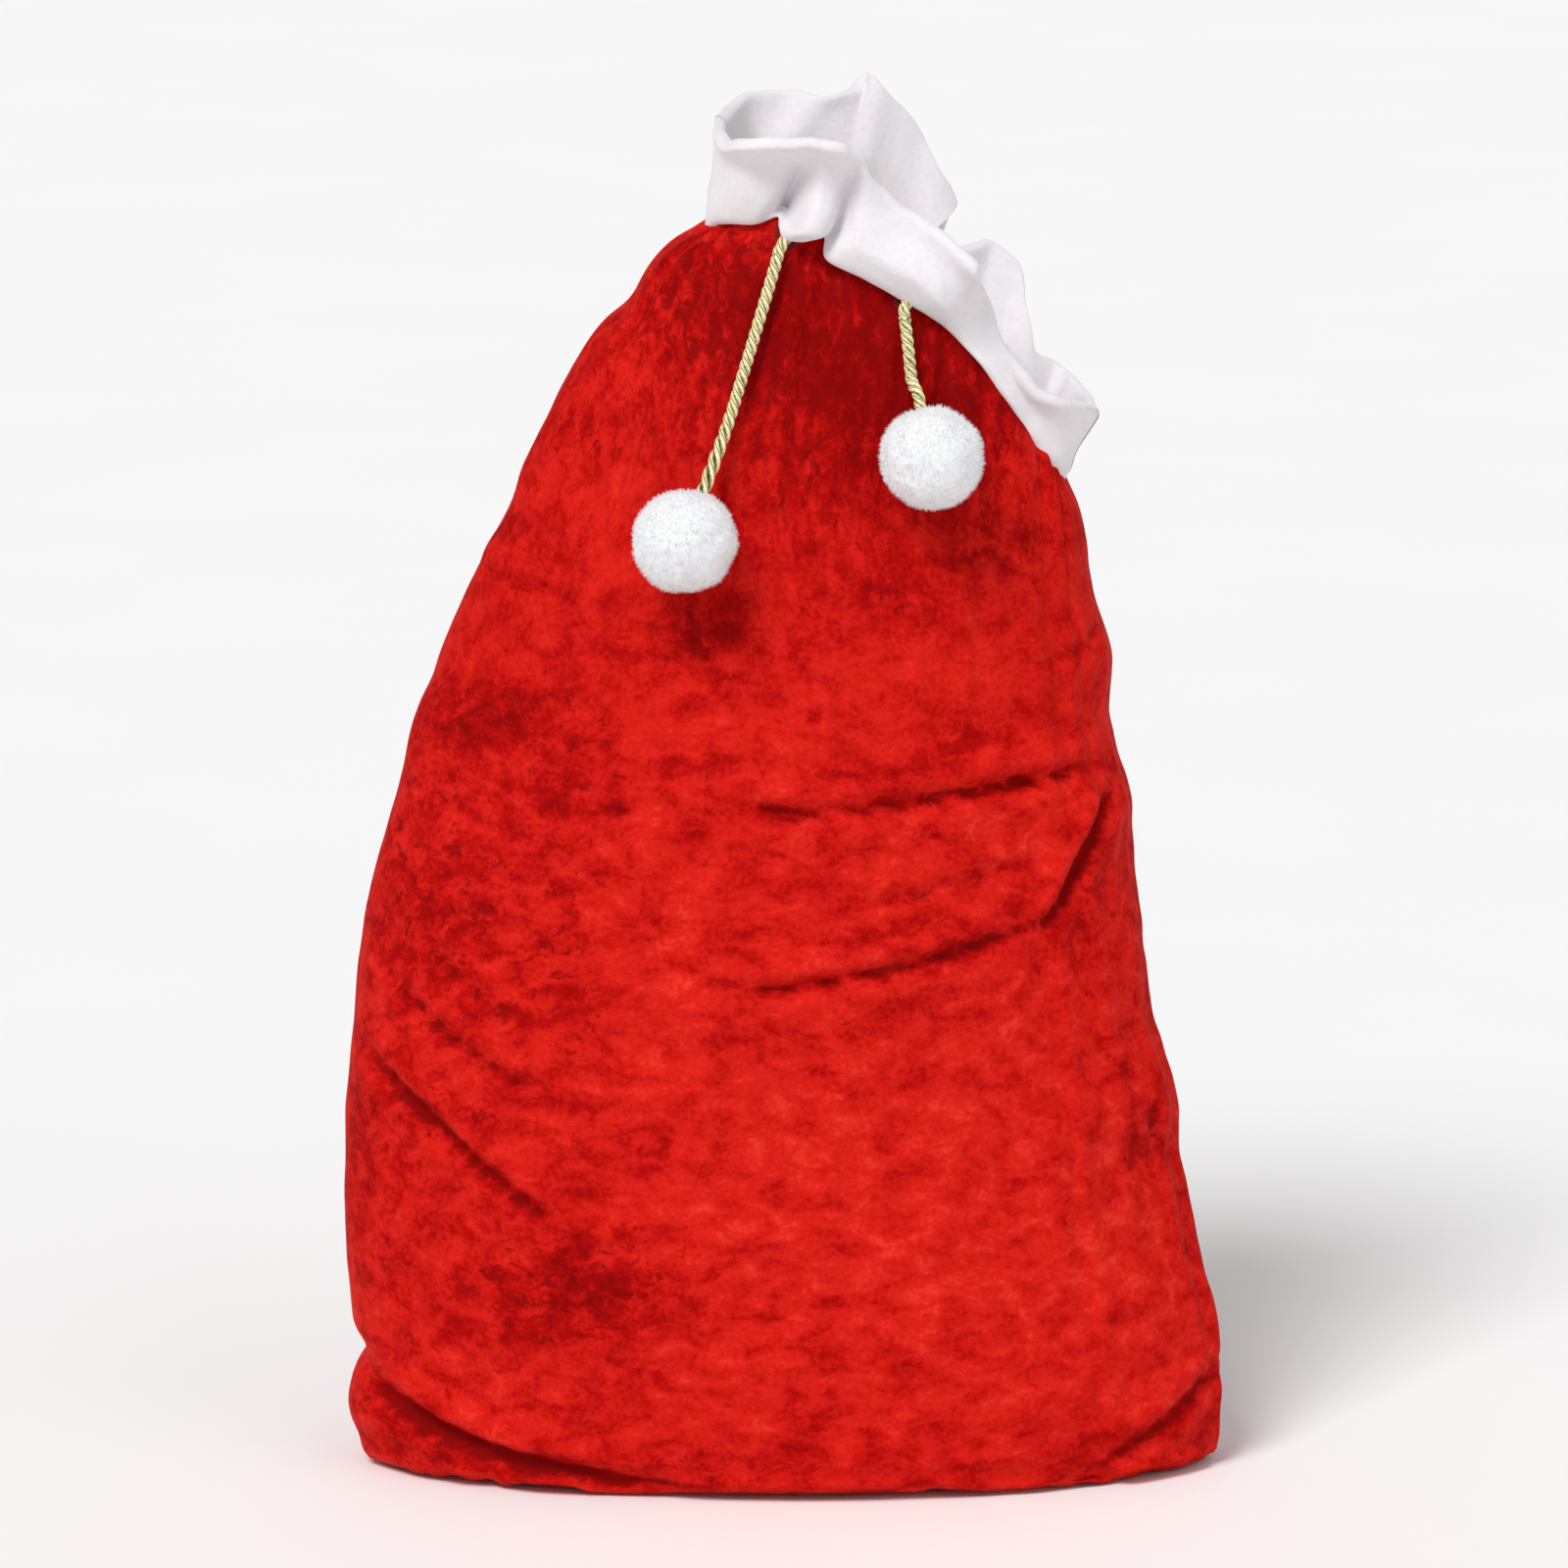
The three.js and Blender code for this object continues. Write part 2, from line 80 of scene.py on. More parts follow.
# The cord's centre line at each end, as in the CAD part.
CORD_ENDS = {
    "left": {
        "lead": [(-15.6, -38.5, 755), (-10.4, -40.5, 755.4), (-5.1, -43, 755.8), (-0.7, -47.2, 756.5),
                 (1.7, -54.4, 757.7), (0.2, -59.4, 755.3), (-2.3, -60.8, 751.3)],
        "bend": [(-3.3, -61.2, 749.6), (-5.8, -63.7, 741)],
        "tail": [(-5.9, -63.8, 740.7), (-16, -71.2, 707), (-24.5, -76, 679), (-34, -81, 648.5),
                 (-46, -95.3, 617.6), (-47.8, -98.1, 613.1)],
    },
    "right": {
        "lead": [(86.5, -49.6, 704.3), (81.8, -50.2, 709.1), (77.4, -51.3, 714), (73.9, -54.4, 718.5),
                 (72, -60.9, 722.1), (70.8, -66, 719.9), (69.6, -67.7, 715.4)],
        "bend": [(69, -68.2, 713.5), (70.1, -69.8, 704.5)],
        "tail": [(70.2, -69.8, 704.1), (71.1, -71.1, 696.7), (72.3, -72.7, 685.6), (73.8, -74.1, 673.1),
                 (77.3, -83.2, 666.4), (78.4, -85.9, 661.6)],
    },
}


# ---- Mathematics -----------------------------------------------------------------------------------
def centripetal(points, t):
    """The centripetal Catmull-Rom curve through points, at the parameters t from 0 to 1."""
    p = np.asarray(points, float)
    n = len(p)
    place = np.clip(np.asarray(t, float), 0, 1) * (n - 1)
    i = np.minimum(place.astype(int), n - 2)
    w = (place - i)[:, None]
    ext = np.vstack([2 * p[0] - p[1], p, 2 * p[-1] - p[-2]])
    x0, x1, x2, x3 = ext[i], ext[i + 1], ext[i + 2], ext[i + 3]
    gap = lambda a, b: (((b - a) ** 2).sum(1) ** 0.25)[:, None]
    d1 = gap(x1, x2)
    d1 = np.where(d1 < 1e-4, 1.0, d1)
    d0 = np.where(gap(x0, x1) < 1e-4, d1, gap(x0, x1))
    d2 = np.where(gap(x2, x3) < 1e-4, d1, gap(x2, x3))
    t1 = ((x1 - x0) / d0 - (x2 - x0) / (d0 + d1) + (x2 - x1) / d1) * d1
    t2 = ((x2 - x1) / d1 - (x3 - x1) / (d1 + d2) + (x3 - x2) / d2) * d1
    return (x1 + t1 * w + (-3 * x1 + 3 * x2 - 2 * t1 - t2) * w**2
            + (2 * x1 - 2 * x2 + t1 + t2) * w**3)


def smooth(x, low, high):
    """Goes smoothly from 0 at low to 1 at high."""
    t = np.clip((np.asarray(x, float) - low) / (high - low), 0, 1)
    return t * t * (3 - 2 * t)


def unit(v):
    return v / np.maximum(np.linalg.norm(v, axis=-1, keepdims=True), 1e-9)


def evenly(points, count):
    """The same line with count points at even distances."""
    p = np.asarray(points, float)
    walked = np.r_[0, np.cumsum(np.linalg.norm(np.diff(p, axis=0), axis=1))]
    at = np.linspace(0, walked[-1], count)
    return np.stack([np.interp(at, walked, p[:, k]) for k in range(3)], 1)


def line_length(points):
    return float(np.linalg.norm(np.diff(points, axis=0), axis=1).sum())


def noise3(points, scale, seed=0.0, octaves=3):
    """Smooth noise from about -1 to 1 at each point, with features about scale mm across."""
    q = np.asarray(points, float).reshape(-1, 3) / scale + seed
    values = [mnoise.fractal(tuple(v), 1.0, 2.0, octaves, noise_basis="PERLIN_ORIGINAL") for v in q]
    return np.array(values).reshape(np.asarray(points).shape[:-1])


# ---- The CAD part's surfaces -----------------------------------------------------------------------
def outline(first):
    """One side seam's fixed points, widened so that the belly reaches its half width between them."""
    def curve(half):
        return [(s[first] * half, 0.0, s[first + 1] * SACK_HEIGHT) for s in STATIONS]
    widest = np.abs(centripetal(curve(HALF_WIDTH), np.linspace(0, 1, 401))[:, 0]).max()
    return curve(HALF_WIDTH**2 / widest)


LEFT_SEAM = outline(0)
RIGHT_SEAM = outline(2)
FULLNESS = [(s[4] * SACK_DEPTH / 2, s[5] * MOUTH_ARCH, 0.0) for s in STATIONS]


def wall(height, angle, side):
    """The outside of the CAD velvet at arrays of heights (rows) and angles (columns)."""
    left = centripetal(LEFT_SEAM, height)[:, None, :]
    right = centripetal(RIGHT_SEAM, height)[:, None, :]
    full = centripetal(FULLNESS, height)
    a = np.asarray(angle)[None, :]
    share = ((1 - np.cos(a)) / 2)[..., None]
    p = left * (1 - share) + right * share
    p[..., 1] = side * (0.2 + np.maximum(0, full[:, :1] - 0.2) * np.sin(a))
    p[..., 2] = np.maximum(0, p[..., 2]) + full[:, 1:2] * np.sin(a) ** 2
    return p


def normals(p, side):
    """The outward unit normals of a grid of points."""
    up = np.gradient(p, axis=0)
    along = np.gradient(p, axis=1)
    return unit(np.cross(along, up) * -side)


# ---- Meshes ----------------------------------------------------------------------------------------
def mesh_object(name, points_mm, faces, uv=None):
    mesh = bpy.data.meshes.new(name)
    mesh.from_pydata((np.asarray(points_mm) * MM).tolist(), [], faces)
    mesh.polygons.foreach_set("use_smooth", [True] * len(mesh.polygons))
    if uv is not None:
        layer = mesh.uv_layers.new(name="UVMap")
        corner = np.zeros(len(mesh.loops), int)
        mesh.loops.foreach_get("vertex_index", corner)
        layer.data.foreach_set("uv", np.asarray(uv, float)[corner].ravel())
    mesh.update()
    made = bpy.data.objects.new(name, mesh)
    bpy.context.scene.collection.objects.link(made)
    return made


def grid_faces(rows, columns, wrap=False, start=0, flip=False):
    """The quads between the points of a grid, numbered from start; wrap closes each row."""
    faces = []
    for r in range(rows - 1):
        for c in range(columns if wrap else columns - 1):
            d = (c + 1) % columns
            quad = [start + r * columns + c, start + r * columns + d,
                    start + (r + 1) * columns + d, start + (r + 1) * columns + c]
            faces.append(quad[::-1] if flip else quad)
    return faces


def subdivide(piece, levels=1):
    """Rounds a mesh with a subdivision surface and applies it."""
    smoother = piece.modifiers.new("Subdivision", "SUBSURF")
    smoother.levels = smoother.render_levels = levels
    view = piece.evaluated_get(bpy.context.evaluated_depsgraph_get())
    mesh = bpy.data.meshes.new_from_object(view)
    piece.modifiers.clear()
    old = piece.data
    piece.data = mesh
    mesh.name = piece.name
    bpy.data.meshes.remove(old)
    mesh.polygons.foreach_set("use_smooth", [True] * len(mesh.polygons))


# ---- Camera ----------------------------------------------------------------------------------------
CAMERA_ELEVATION = math.radians(12)
CAMERA_DISTANCE = 5.85
CAMERA_TARGET = (-0.001, 0.0, 0.417)
CAMERA_LENS = 225


def add_camera():
    """A long lens in front of the sack and a little above it."""
    elevation = CAMERA_ELEVATION
    data = bpy.data.cameras.new("camera")
    data.lens = CAMERA_LENS
    data.sensor_width = 36
    camera = bpy.data.objects.new("camera", data)
    camera.location = (CAMERA_TARGET[0], -CAMERA_DISTANCE * math.cos(elevation),
                       CAMERA_TARGET[2] + CAMERA_DISTANCE * math.sin(elevation))
    camera.rotation_euler = (math.pi / 2 - elevation, 0, 0)
    bpy.context.scene.collection.objects.link(camera)
    bpy.context.scene.camera = camera


# ---- Cords -----------------------------------------------------------------------------------------
STRANDS = 3
STRAND_OFFSET = 1.9
STRAND_RADIUS = 1.75
TWIST_PITCH = 19.0
STRAND_SIDES = 12
STRAND_STEP = 0.8
CORD_IN_POMPOM = 10.0


def frames_along(line):
    """Two directions across a line at each point, without any turn of their own."""
    tangent = unit(np.gradient(line, axis=0))
    across = np.zeros_like(tangent)
    first = np.cross(tangent[0], (0.3, 1.0, 0.2))
    across[0] = first / np.linalg.norm(first)
    for i in range(1, len(line)):
        v = across[i - 1] - tangent[i] * np.dot(across[i - 1], tangent[i])
        across[i] = v / np.linalg.norm(v)
    return across, np.cross(tangent, across)


def strand_surface(path, centre):
    """Points round one strand (rows along it), the first of each row on its crown, away from the path."""
    tangent = unit(np.gradient(centre, axis=0))
    out = unit(centre - path)
    out = unit(out - tangent * (out * tangent).sum(1, keepdims=True))
    up = np.cross(tangent, out)
    ring = (2 * np.pi * np.arange(STRAND_SIDES) / STRAND_SIDES)[None, :, None]
    spoke = np.cos(ring) * out[:, None, :] + np.sin(ring) * up[:, None, :]
    return centre[:, None, :] + STRAND_RADIUS * spoke


def twisted(name, line, loosen_from=None):
    """Three strands twisted round a line; past loosen_from (a share of the length) the twist opens."""
    length = line_length(line)
    count = max(24, int(length / STRAND_STEP))
    path = evenly(line, count)
    side, other = frames_along(path)
    share = np.linspace(0, 1, count)
    open_up = np.zeros(count) if loosen_from is None else smooth(share, loosen_from, 0.97)
    pitch = TWIST_PITCH * (1 + 0.9 * open_up)
    turn = -np.cumsum(2 * np.pi / pitch) * (length / (count - 1))
    offset = STRAND_OFFSET * (1 + 0.28 * open_up)
    round_strand = np.tile(np.arange(STRAND_SIDES) / STRAND_SIDES, count)
    along = np.repeat(share * length * MM, STRAND_SIDES)
    points, faces = [], []
    for strand in range(STRANDS):
        a = turn + 2 * np.pi * strand / STRANDS
        centre = path + offset[:, None] * (np.cos(a)[:, None] * side + np.sin(a)[:, None] * other)
        points.append(strand_surface(path, centre).reshape(-1, 3))
        start = strand * count * STRAND_SIDES
        last = start + (count - 1) * STRAND_SIDES
        faces += grid_faces(count, STRAND_SIDES, wrap=True, start=start)
        faces.append([start + k for k in range(STRAND_SIDES)][::-1])
        faces.append([last + k for k in range(STRAND_SIDES)])
    uvs = [np.stack([round_strand, along], 1)] * STRANDS
    made = mesh_object(name, np.vstack(points), faces, np.vstack(uvs))
    made.data.materials.append(gold_thread())
    return made, path


def add_cord(side):
    """One end of the drawcord: a lead through the buttonhole, and the tail that hangs with its pompom."""
    end = CORD_ENDS[side]
    lead, bend, tail = (np.array(end[k], float) for k in ("lead", "bend", "tail"))
    joint = (bend[0] + bend[-1]) / 2
    lead_line = centripetal(np.vstack([lead[3:], bend[:1], joint[None]]), np.linspace(0, 1, 60))
    tail_line = centripetal(np.vstack([joint[None], bend[-1:] * 0.5 + tail[:1] * 0.5, tail[1:]]),
                            np.linspace(0, 1, 80))
    short, _ = twisted(f"{side}_cord_lead_twist", lead_line)
    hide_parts(f"{side}_cord_lead", f"{side}_cord_bend")
    pole = unit(tail_line[-1] - tail_line[-3])
    into = tail_line[-1] + pole * CORD_IN_POMPOM
    hanging, path = twisted(f"{side}_cord_tail_twist", np.vstack([tail_line, into[None]]),
                            loosen_from=0.55 if side == "left" else None)
    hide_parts(f"{side}_cord_tail")
    return short, hanging, path, lead[-1], joint


# ---- Materials -------------------------------------------------------------------------------------
_made = {}


class Nodes:
    """A short hand for building a material's node tree."""

    def __init__(self, name):
        self.material = bpy.data.materials.new(name)
        self.material.use_nodes = True
        self.tree = self.material.node_tree
        self.shader = next(n for n in self.tree.nodes if n.type == "BSDF_PRINCIPLED")

    def add(self, kind, inputs=None, **settings):
        node = self.tree.nodes.new(kind)
        for key, value in settings.items():
            setattr(node, key, value)
        for key, value in (inputs or {}).items():
            self.put(node.inputs[key], value)
        return node

    def put(self, socket, value):
        if isinstance(value, bpy.types.NodeSocket):
            self.tree.links.new(value, socket)
        else:
            socket.default_value = value

    def coords(self):
        return self.add("ShaderNodeTexCoord").outputs["Object"]

    def stretch(self, vector, scale, rotation):
        node = self.add("ShaderNodeMapping", {"Vector": vector, "Scale": scale, "Rotation": rotation})
        return node.outputs[0]

    def remap(self, value, low, high, to_low=0.0, to_high=1.0):
        node = self.add("ShaderNodeMapRange", {"Value": value, "From Min": low, "From Max": high,
                                               "To Min": to_low, "To Max": to_high})
        return node.outputs[0]

    def noise(self, vector, scale, detail=3.0, rough=0.5, distortion=0.0):
        node = self.add("ShaderNodeTexNoise", {"Vector": vector, "Scale": scale, "Detail": detail,
                                               "Roughness": rough, "Distortion": distortion})
        return node.outputs["Fac"]

    def ramp(self, fac, stops):
        node = self.add("ShaderNodeValToRGB", {"Fac": fac})
        ramp = node.color_ramp
        while len(ramp.elements) < len(stops):
            ramp.elements.new(0.5)
        for element, (place, colour) in zip(ramp.elements, stops):
            element.position = place
            element.color = (*colour, 1) if len(colour) == 3 else colour
        return node.outputs["Color"]

    def mix(self, fac, a, b, blend="MIX"):
        node = self.add("ShaderNodeMix", data_type="RGBA", blend_type=blend)
        self.put(node.inputs[0], fac)
        self.put(node.inputs[6], a if isinstance(a, bpy.types.NodeSocket) else (*a, 1))
        self.put(node.inputs[7], b if isinstance(b, bpy.types.NodeSocket) else (*b, 1))
        return node.outputs[2]

    def blend(self, fac, a, b):
        """A value that goes from a to b as fac goes from 0 to 1."""
        node = self.add("ShaderNodeMix", data_type="FLOAT")
        for socket, value in zip(node.inputs[:1] + node.inputs[2:4], (fac, a, b)):
            self.put(socket, value)
        return node.outputs[0]

    def math(self, operation, a, b=0.0, clamp=False):
        node = self.add("ShaderNodeMath", operation=operation, use_clamp=clamp)
        self.put(node.inputs[0], a)
        self.put(node.inputs[1], b)
        return node.outputs[0]

    def bump(self, height, strength, distance, normal=None):
        node = self.add("ShaderNodeBump", {"Height": height, "Strength": strength, "Distance": distance})
        if normal is not None:
            self.put(node.inputs["Normal"], normal)
        return node.outputs["Normal"]

    def finish(self, **sockets):
        for key, value in sockets.items():
            name = key.replace("_", " ")
            self.put(self.shader.inputs[name], value)
        return self.material


def once(make):
    """Makes a material the first time it is asked for."""
    def get():
        if make.__name__ not in _made:
            _made[make.__name__] = make()
        return _made[make.__name__]
    return get


@once
def crushed_velvet():
    """Red pile, mottled where it was crushed and darker in patches where it lies away, with painted shade
    from a point attribute: darker in the folds' valleys, along creases and over the left side, lighter on the
    rolls above the valleys.
    """
    m = Nodes("crushed_velvet")
    at = m.coords()
    upright = m.stretch(at, (1.0, 1.0, 0.5), (0, 0.3, 0))
    level = m.stretch(at, (0.6, 1.0, 1.0), (0, 0.1, 0))
    height = m.add("ShaderNodeSeparateXYZ", {"Vector": at}).outputs[2]
    high = m.remap(height, 0.42, 0.68)
    smears = m.blend(high, m.noise(level, 78, 5, 0.58, 0.4), m.noise(upright, 105, 5, 0.60, 0.4))
    flecks = m.blend(high, m.noise(level, 120, 4, 0.68, 0.7), m.noise(upright, 120, 4, 0.68, 0.7))
    fine = m.noise(at, 330, 3, 0.6)
    clusters = m.noise(at, 13, 3, 0.55, 0.4)
    # The point attribute is crushed patches plus painted shade and painted light from the folds: it darkens
    # the colour and gathers the dark flecks.
    pile_crush_and_painted_shade = m.add("ShaderNodeAttribute", attribute_name="crush_and_painted_shade").outputs["Fac"]
    crush = m.math("ADD", m.math("MULTIPLY", smears, 0.70), m.math("MULTIPLY", fine, 0.30))
    crush = m.math("SUBTRACT", crush, m.math("MULTIPLY", pile_crush_and_painted_shade, 0.15))
    crush = m.math("SUBTRACT", crush, m.math("MULTIPLY", clusters, 0.16))
    base = m.ramp(crush, [(0.20, (0.27, 0.0010, 0.0010)), (0.31, (0.42, 0.0025, 0.0018)),
                          (0.40, (0.57, 0.0085, 0.0050)), (0.50, (0.67, 0.0150, 0.0085)),
                          (0.62, (0.80, 0.0380, 0.0220))])
    fleck_and_painted_shade_mask = m.math("ADD", flecks, m.math("MULTIPLY", pile_crush_and_painted_shade, 0.22))
    fleck_and_painted_shade_mask = m.remap(fleck_and_painted_shade_mask, 0.635, 0.76)
    colour = m.mix(m.math("MULTIPLY", fleck_and_painted_shade_mask, 0.80), base, (0.21, 0.0009, 0.0009))
    rough = m.remap(crush, 0.3, 0.7, 0.70, 0.50)
    pile = m.noise(at, 1100, 2, 0.6)
    relief = m.math("ADD", m.math("MULTIPLY", crush, 0.85), m.math("MULTIPLY", pile, 0.16))
    return m.finish(Base_Color=colour, Roughness=rough, Normal=m.bump(relief, 0.6, 0.0026), Sheen_Weight=0.30,
                    Sheen_Roughness=0.30, Sheen_Tint=(1.0, 0.06, 0.035, 1), Specular_IOR_Level=0.04)


@once
def white_plush():
    """Short white plush, its tone varying at random, with a faint warm grey painted as shade in the bump's
    hollows between its tufts.
    """
    m = Nodes("white_plush")
    at = m.coords()
    tufts = m.noise(at, 240, 4, 0.62, 0.3)
    fibre = m.noise(at, 1100, 2, 0.6)
    wide = m.noise(at, 22, 3, 0.5)
    # Half of the tone follows the tuft bump, greyer in its hollows as painted shade; the other half varies at
    # random.
    colour = m.ramp(m.math("ADD", m.math("MULTIPLY", tufts, 0.5), m.math("MULTIPLY", wide, 0.5)),
                    [(0.3, (0.74, 0.70, 0.725)), (0.5, (0.80, 0.765, 0.79)), (0.7, (0.85, 0.82, 0.845))])
    height = m.math("ADD", m.math("MULTIPLY", tufts, 0.7), m.math("MULTIPLY", fibre, 0.3))
    return m.finish(Base_Color=colour, Roughness=0.95, Normal=m.bump(height, 0.5, 0.0012),
                    Sheen_Weight=0.35, Sheen_Roughness=0.6, Sheen_Tint=(1, 1, 1, 1),
                    Subsurface_Weight=0.12, Subsurface_Radius=(0.006, 0.005, 0.005),
                    Specular_IOR_Level=0.15)


@once
def pompom_fluff():
    """The pompoms' longer, brighter pile."""
    m = Nodes("pompom_fluff")
    at = m.coords()
    tufts = m.noise(at, 300, 4, 0.65, 0.4)
    fibre = m.noise(at, 1500, 2, 0.6)
    # The tone follows the tuft bump: greyer in its hollows, as painted shade.
    colour = m.ramp(tufts, [(0.3, (0.79, 0.795, 0.81)), (0.6, (0.85, 0.855, 0.87))])
    height = m.math("ADD", m.math("MULTIPLY", tufts, 0.6), m.math("MULTIPLY", fibre, 0.4))
    return m.finish(Base_Color=colour, Roughness=1.0, Normal=m.bump(height, 0.35, 0.0010),
                    Sheen_Weight=0.3, Sheen_Roughness=0.7, Subsurface_Weight=0.2,
                    Subsurface_Radius=(0.006, 0.006, 0.006), Specular_IOR_Level=0.1)


@once
def gold_thread():
    """Shiny wound yarn: a pale painted highlight on a strand's crown and olive painted shade in the grooves
    between the strands, both spread by a random slub.
    """
    m = Nodes("gold_thread")
    uv = m.add("ShaderNodeUVMap", uv_map="UVMap").outputs[0]
    parts = m.add("ShaderNodeSeparateXYZ", {"Vector": uv})
    round_strand = m.math("MULTIPLY", parts.outputs[0], 2 * math.pi)
    crown_light_groove_shade = m.math("COSINE", round_strand)
    wound = m.math("ADD", m.math("MULTIPLY", parts.outputs[0], 5 * 2 * math.pi),
                   m.math("MULTIPLY", parts.outputs[1], 900 * 2 * math.pi / 2))
    yarn = m.math("SINE", wound)
    slub = m.noise(m.coords(), 420, 3, 0.6)
    # The crown term paints a highlight on each strand's outer side and shade in the grooves; the slub varies
    # the tone at random and the winding adds fine stripes.
    tone = m.math("ADD", m.math("MULTIPLY", crown_light_groove_shade, 0.42), m.math("MULTIPLY", yarn, 0.08))
    tone = m.math("ADD", tone, m.math("MULTIPLY", slub, 0.70))
    colour = m.ramp(tone, [(0.16, (0.10, 0.10, 0.008)), (0.38, (0.30, 0.29, 0.040)),
                           (0.54, (0.80, 0.70, 0.27)), (0.70, (1.0, 0.93, 0.60))])
    return m.finish(Base_Color=colour, Roughness=0.40, Metallic=0.10, Normal=m.bump(yarn, 0.5, 0.0003),
                    Sheen_Weight=0.2, Specular_IOR_Level=0.6)


def woven(name, dark, light, scale, rough=0.8):
    """A fine weave or wound thread: two crossing waves with a slub."""
    def make():
        m = Nodes(name)
        at = m.coords()
        slub = m.noise(at, 60, 3)
        waves = [m.add("ShaderNodeTexWave", {"Vector": at, "Scale": scale, "Distortion": 0.6},
                       wave_type="BANDS", bands_direction=d).outputs["Fac"] for d in ("X", "Z")]
        weave = m.math("MULTIPLY", *waves)
        tone = m.math("ADD", m.math("MULTIPLY", weave, 0.6), m.math("MULTIPLY", slub, 0.4))
        colour = m.ramp(tone, [(0.2, dark), (0.7, light)])
        return m.finish(Base_Color=colour, Roughness=rough, Normal=m.bump(weave, 0.4, 0.0003))
    make.__name__ = name
    return once(make)


red_tape = woven("red_tape", (0.26, 0.004, 0.004), (0.50, 0.012, 0.010), 420)
red_stitching = woven("red_stitching", (0.16, 0.002, 0.002), (0.34, 0.003, 0.003), 900, 0.8)


# ---- Velvet ----------------------------------------------------------------------------------------
COLUMNS = 90
ROWS = 124
SETTLE_FRAMES = 24
PIN_REACH = (24.0, 80.0)
CONTENTS_INSET = 7.0
SETTLE_OUT = 6.0
SETTLE_BACK = 10.0
LOWEST = 0.3
SIDES = (("front", -1), ("back", 1))


def even_angles(count):
    """Angles from one side seam to the other that are evenly far apart on the belly."""
    a = np.linspace(0, np.pi, 721)
    step = np.hypot(250.0 * np.sin(a), SACK_DEPTH / 2 * np.cos(a))
    walked = np.r_[0, np.cumsum((step[1:] + step[:-1]) / 2)]
    return np.interp(np.linspace(0, walked[-1], count), walked, a)


def even_heights(count):
    """Heights on the wall that are evenly far apart on its middle."""
    t = np.linspace(0, 1, 1201)
    line = wall(t, np.array([np.pi / 2]), -1)[:, 0] * 0.6 + wall(t, np.array([0.5]), -1)[:, 0] * 0.4
    walked = np.r_[0, np.cumsum(np.linalg.norm(np.diff(line, axis=0), axis=1))]
    return np.interp(np.linspace(0, walked[-1], count), walked, t)


def below_mouth(p):
    """How far down the cloth each point of a grid lies from the mouth, in mm."""
    step = np.linalg.norm(np.diff(p, axis=0), axis=2)
    down = np.zeros(p.shape[:2])
    down[:-1] = np.cumsum(step[::-1], axis=0)[::-1]
    return down


def pleats(p, side):
    """The gathers under the cuff: rounded folds with narrow valleys that fade out down the cloth."""
    rim = p[-1]
    walked = np.r_[0, np.cumsum(np.linalg.norm(np.diff(rim, axis=0), axis=1))]
    u = walked / walked[-1]
    count = 15
    wobble = 0.35 * np.sin(2 * np.pi * (2.3 * u + 0.2 * side)) + 0.25 * np.sin(2 * np.pi * (5.1 * u + 0.4))
    down = below_mouth(p)
    drift = 0.5 * np.sin(down / 47.0 + 9 * u[None, :])
    phase = count * u[None, :] + wobble[None, :] + 0.35 * drift * smooth(down, 20, 120)
    ridge = 1 - 2 * np.abs(np.sin(np.pi * phase)) ** 0.8
    strength = 0.55 + 0.45 * np.sin(2 * np.pi * (3.7 * u + 0.13 * (2 + side)))
    reach = 70 + 75 * np.clip(strength, 0, 1)
    size = 2.6 + 2.2 * smooth(down, 22, 55)
    fade = 1 - smooth(down / reach[None, :], 0.25, 1)
    ends = smooth(np.sin(np.pi * u), 0.02, 0.35)[None, :]
    return -ridge * size * fade * ends * (0.5 + 0.5 * np.clip(strength, 0, 1))[None, :]


# Folds of the front, seen from in front: points [x, z] along each fold's valley, then the valley's depth, its
# width and the height of the roll of cloth above it, in mm.
FRONT_FOLDS = [
    ([(-60, 429), (-20, 427), (28, 426), (115, 434), (174, 440), (200, 446)], 12.0, 9.0, 7.0),
    ([(-130, 424), (-75, 429), (-30, 428)], 4.0, 5.0, 2.0),
    ([(-62, 330), (-30, 321), (28, 327), (90, 338), (150, 352)], 11.0, 8.0, 6.0),
    ([(146, 344), (156, 356), (170, 378), (184, 408), (192, 428)], 13.0, 7.0, 6.0),
    ([(-259, 278), (-228, 250), (-199, 224), (-168, 198), (-130, 174)], 13.0, 8.0, 7.0),
    ([(-240, 322), (-214, 298), (-188, 278), (-141, 252)], 7.0, 8.0, 4.0),
    ([(-215, 336), (-175, 310), (-130, 288)], 3.5, 7.0, 2.0),
    ([(-256, 80), (-240, 62), (-218, 46), (-184, 33), (-146, 24), (-100, 17), (-50, 13)], 15.0, 11.0, 6.0),
    ([(262, 74), (242, 58), (224, 42), (183, 20)], 9.0, 8.0, 4.0),
    ([(-62, 530), (-46, 512), (-36, 492), (-28, 470)], 5.0, 5.0, 2.5),
    ([(-4, 530), (8, 508), (14, 486), (17, 460)], 5.0, 5.0, 2.5),
    ([(78, 574), (98, 566), (116, 572), (138, 556), (172, 552)], 3.5, 6.0, 2.0),
    ([(40, 372), (100, 380), (150, 392)], 5.0, 8.0, 3.0),
    ([(-120, 500), (-108, 470), (-102, 430), (-100, 380)], 2.5, 14.0, 1.5),
    ([(-190, 560), (-150, 552), (-120, 556)], 3.0, 8.0, 1.5),
    ([(188, 520), (170, 508), (140, 504)], 4.0, 7.0, 2.5),
    ([(214, 250), (196, 262), (180, 286)], 4.0, 7.0, 2.0),
    ([(236, 190), (222, 214), (214, 240)], 4.0, 6.0, 2.0),
]
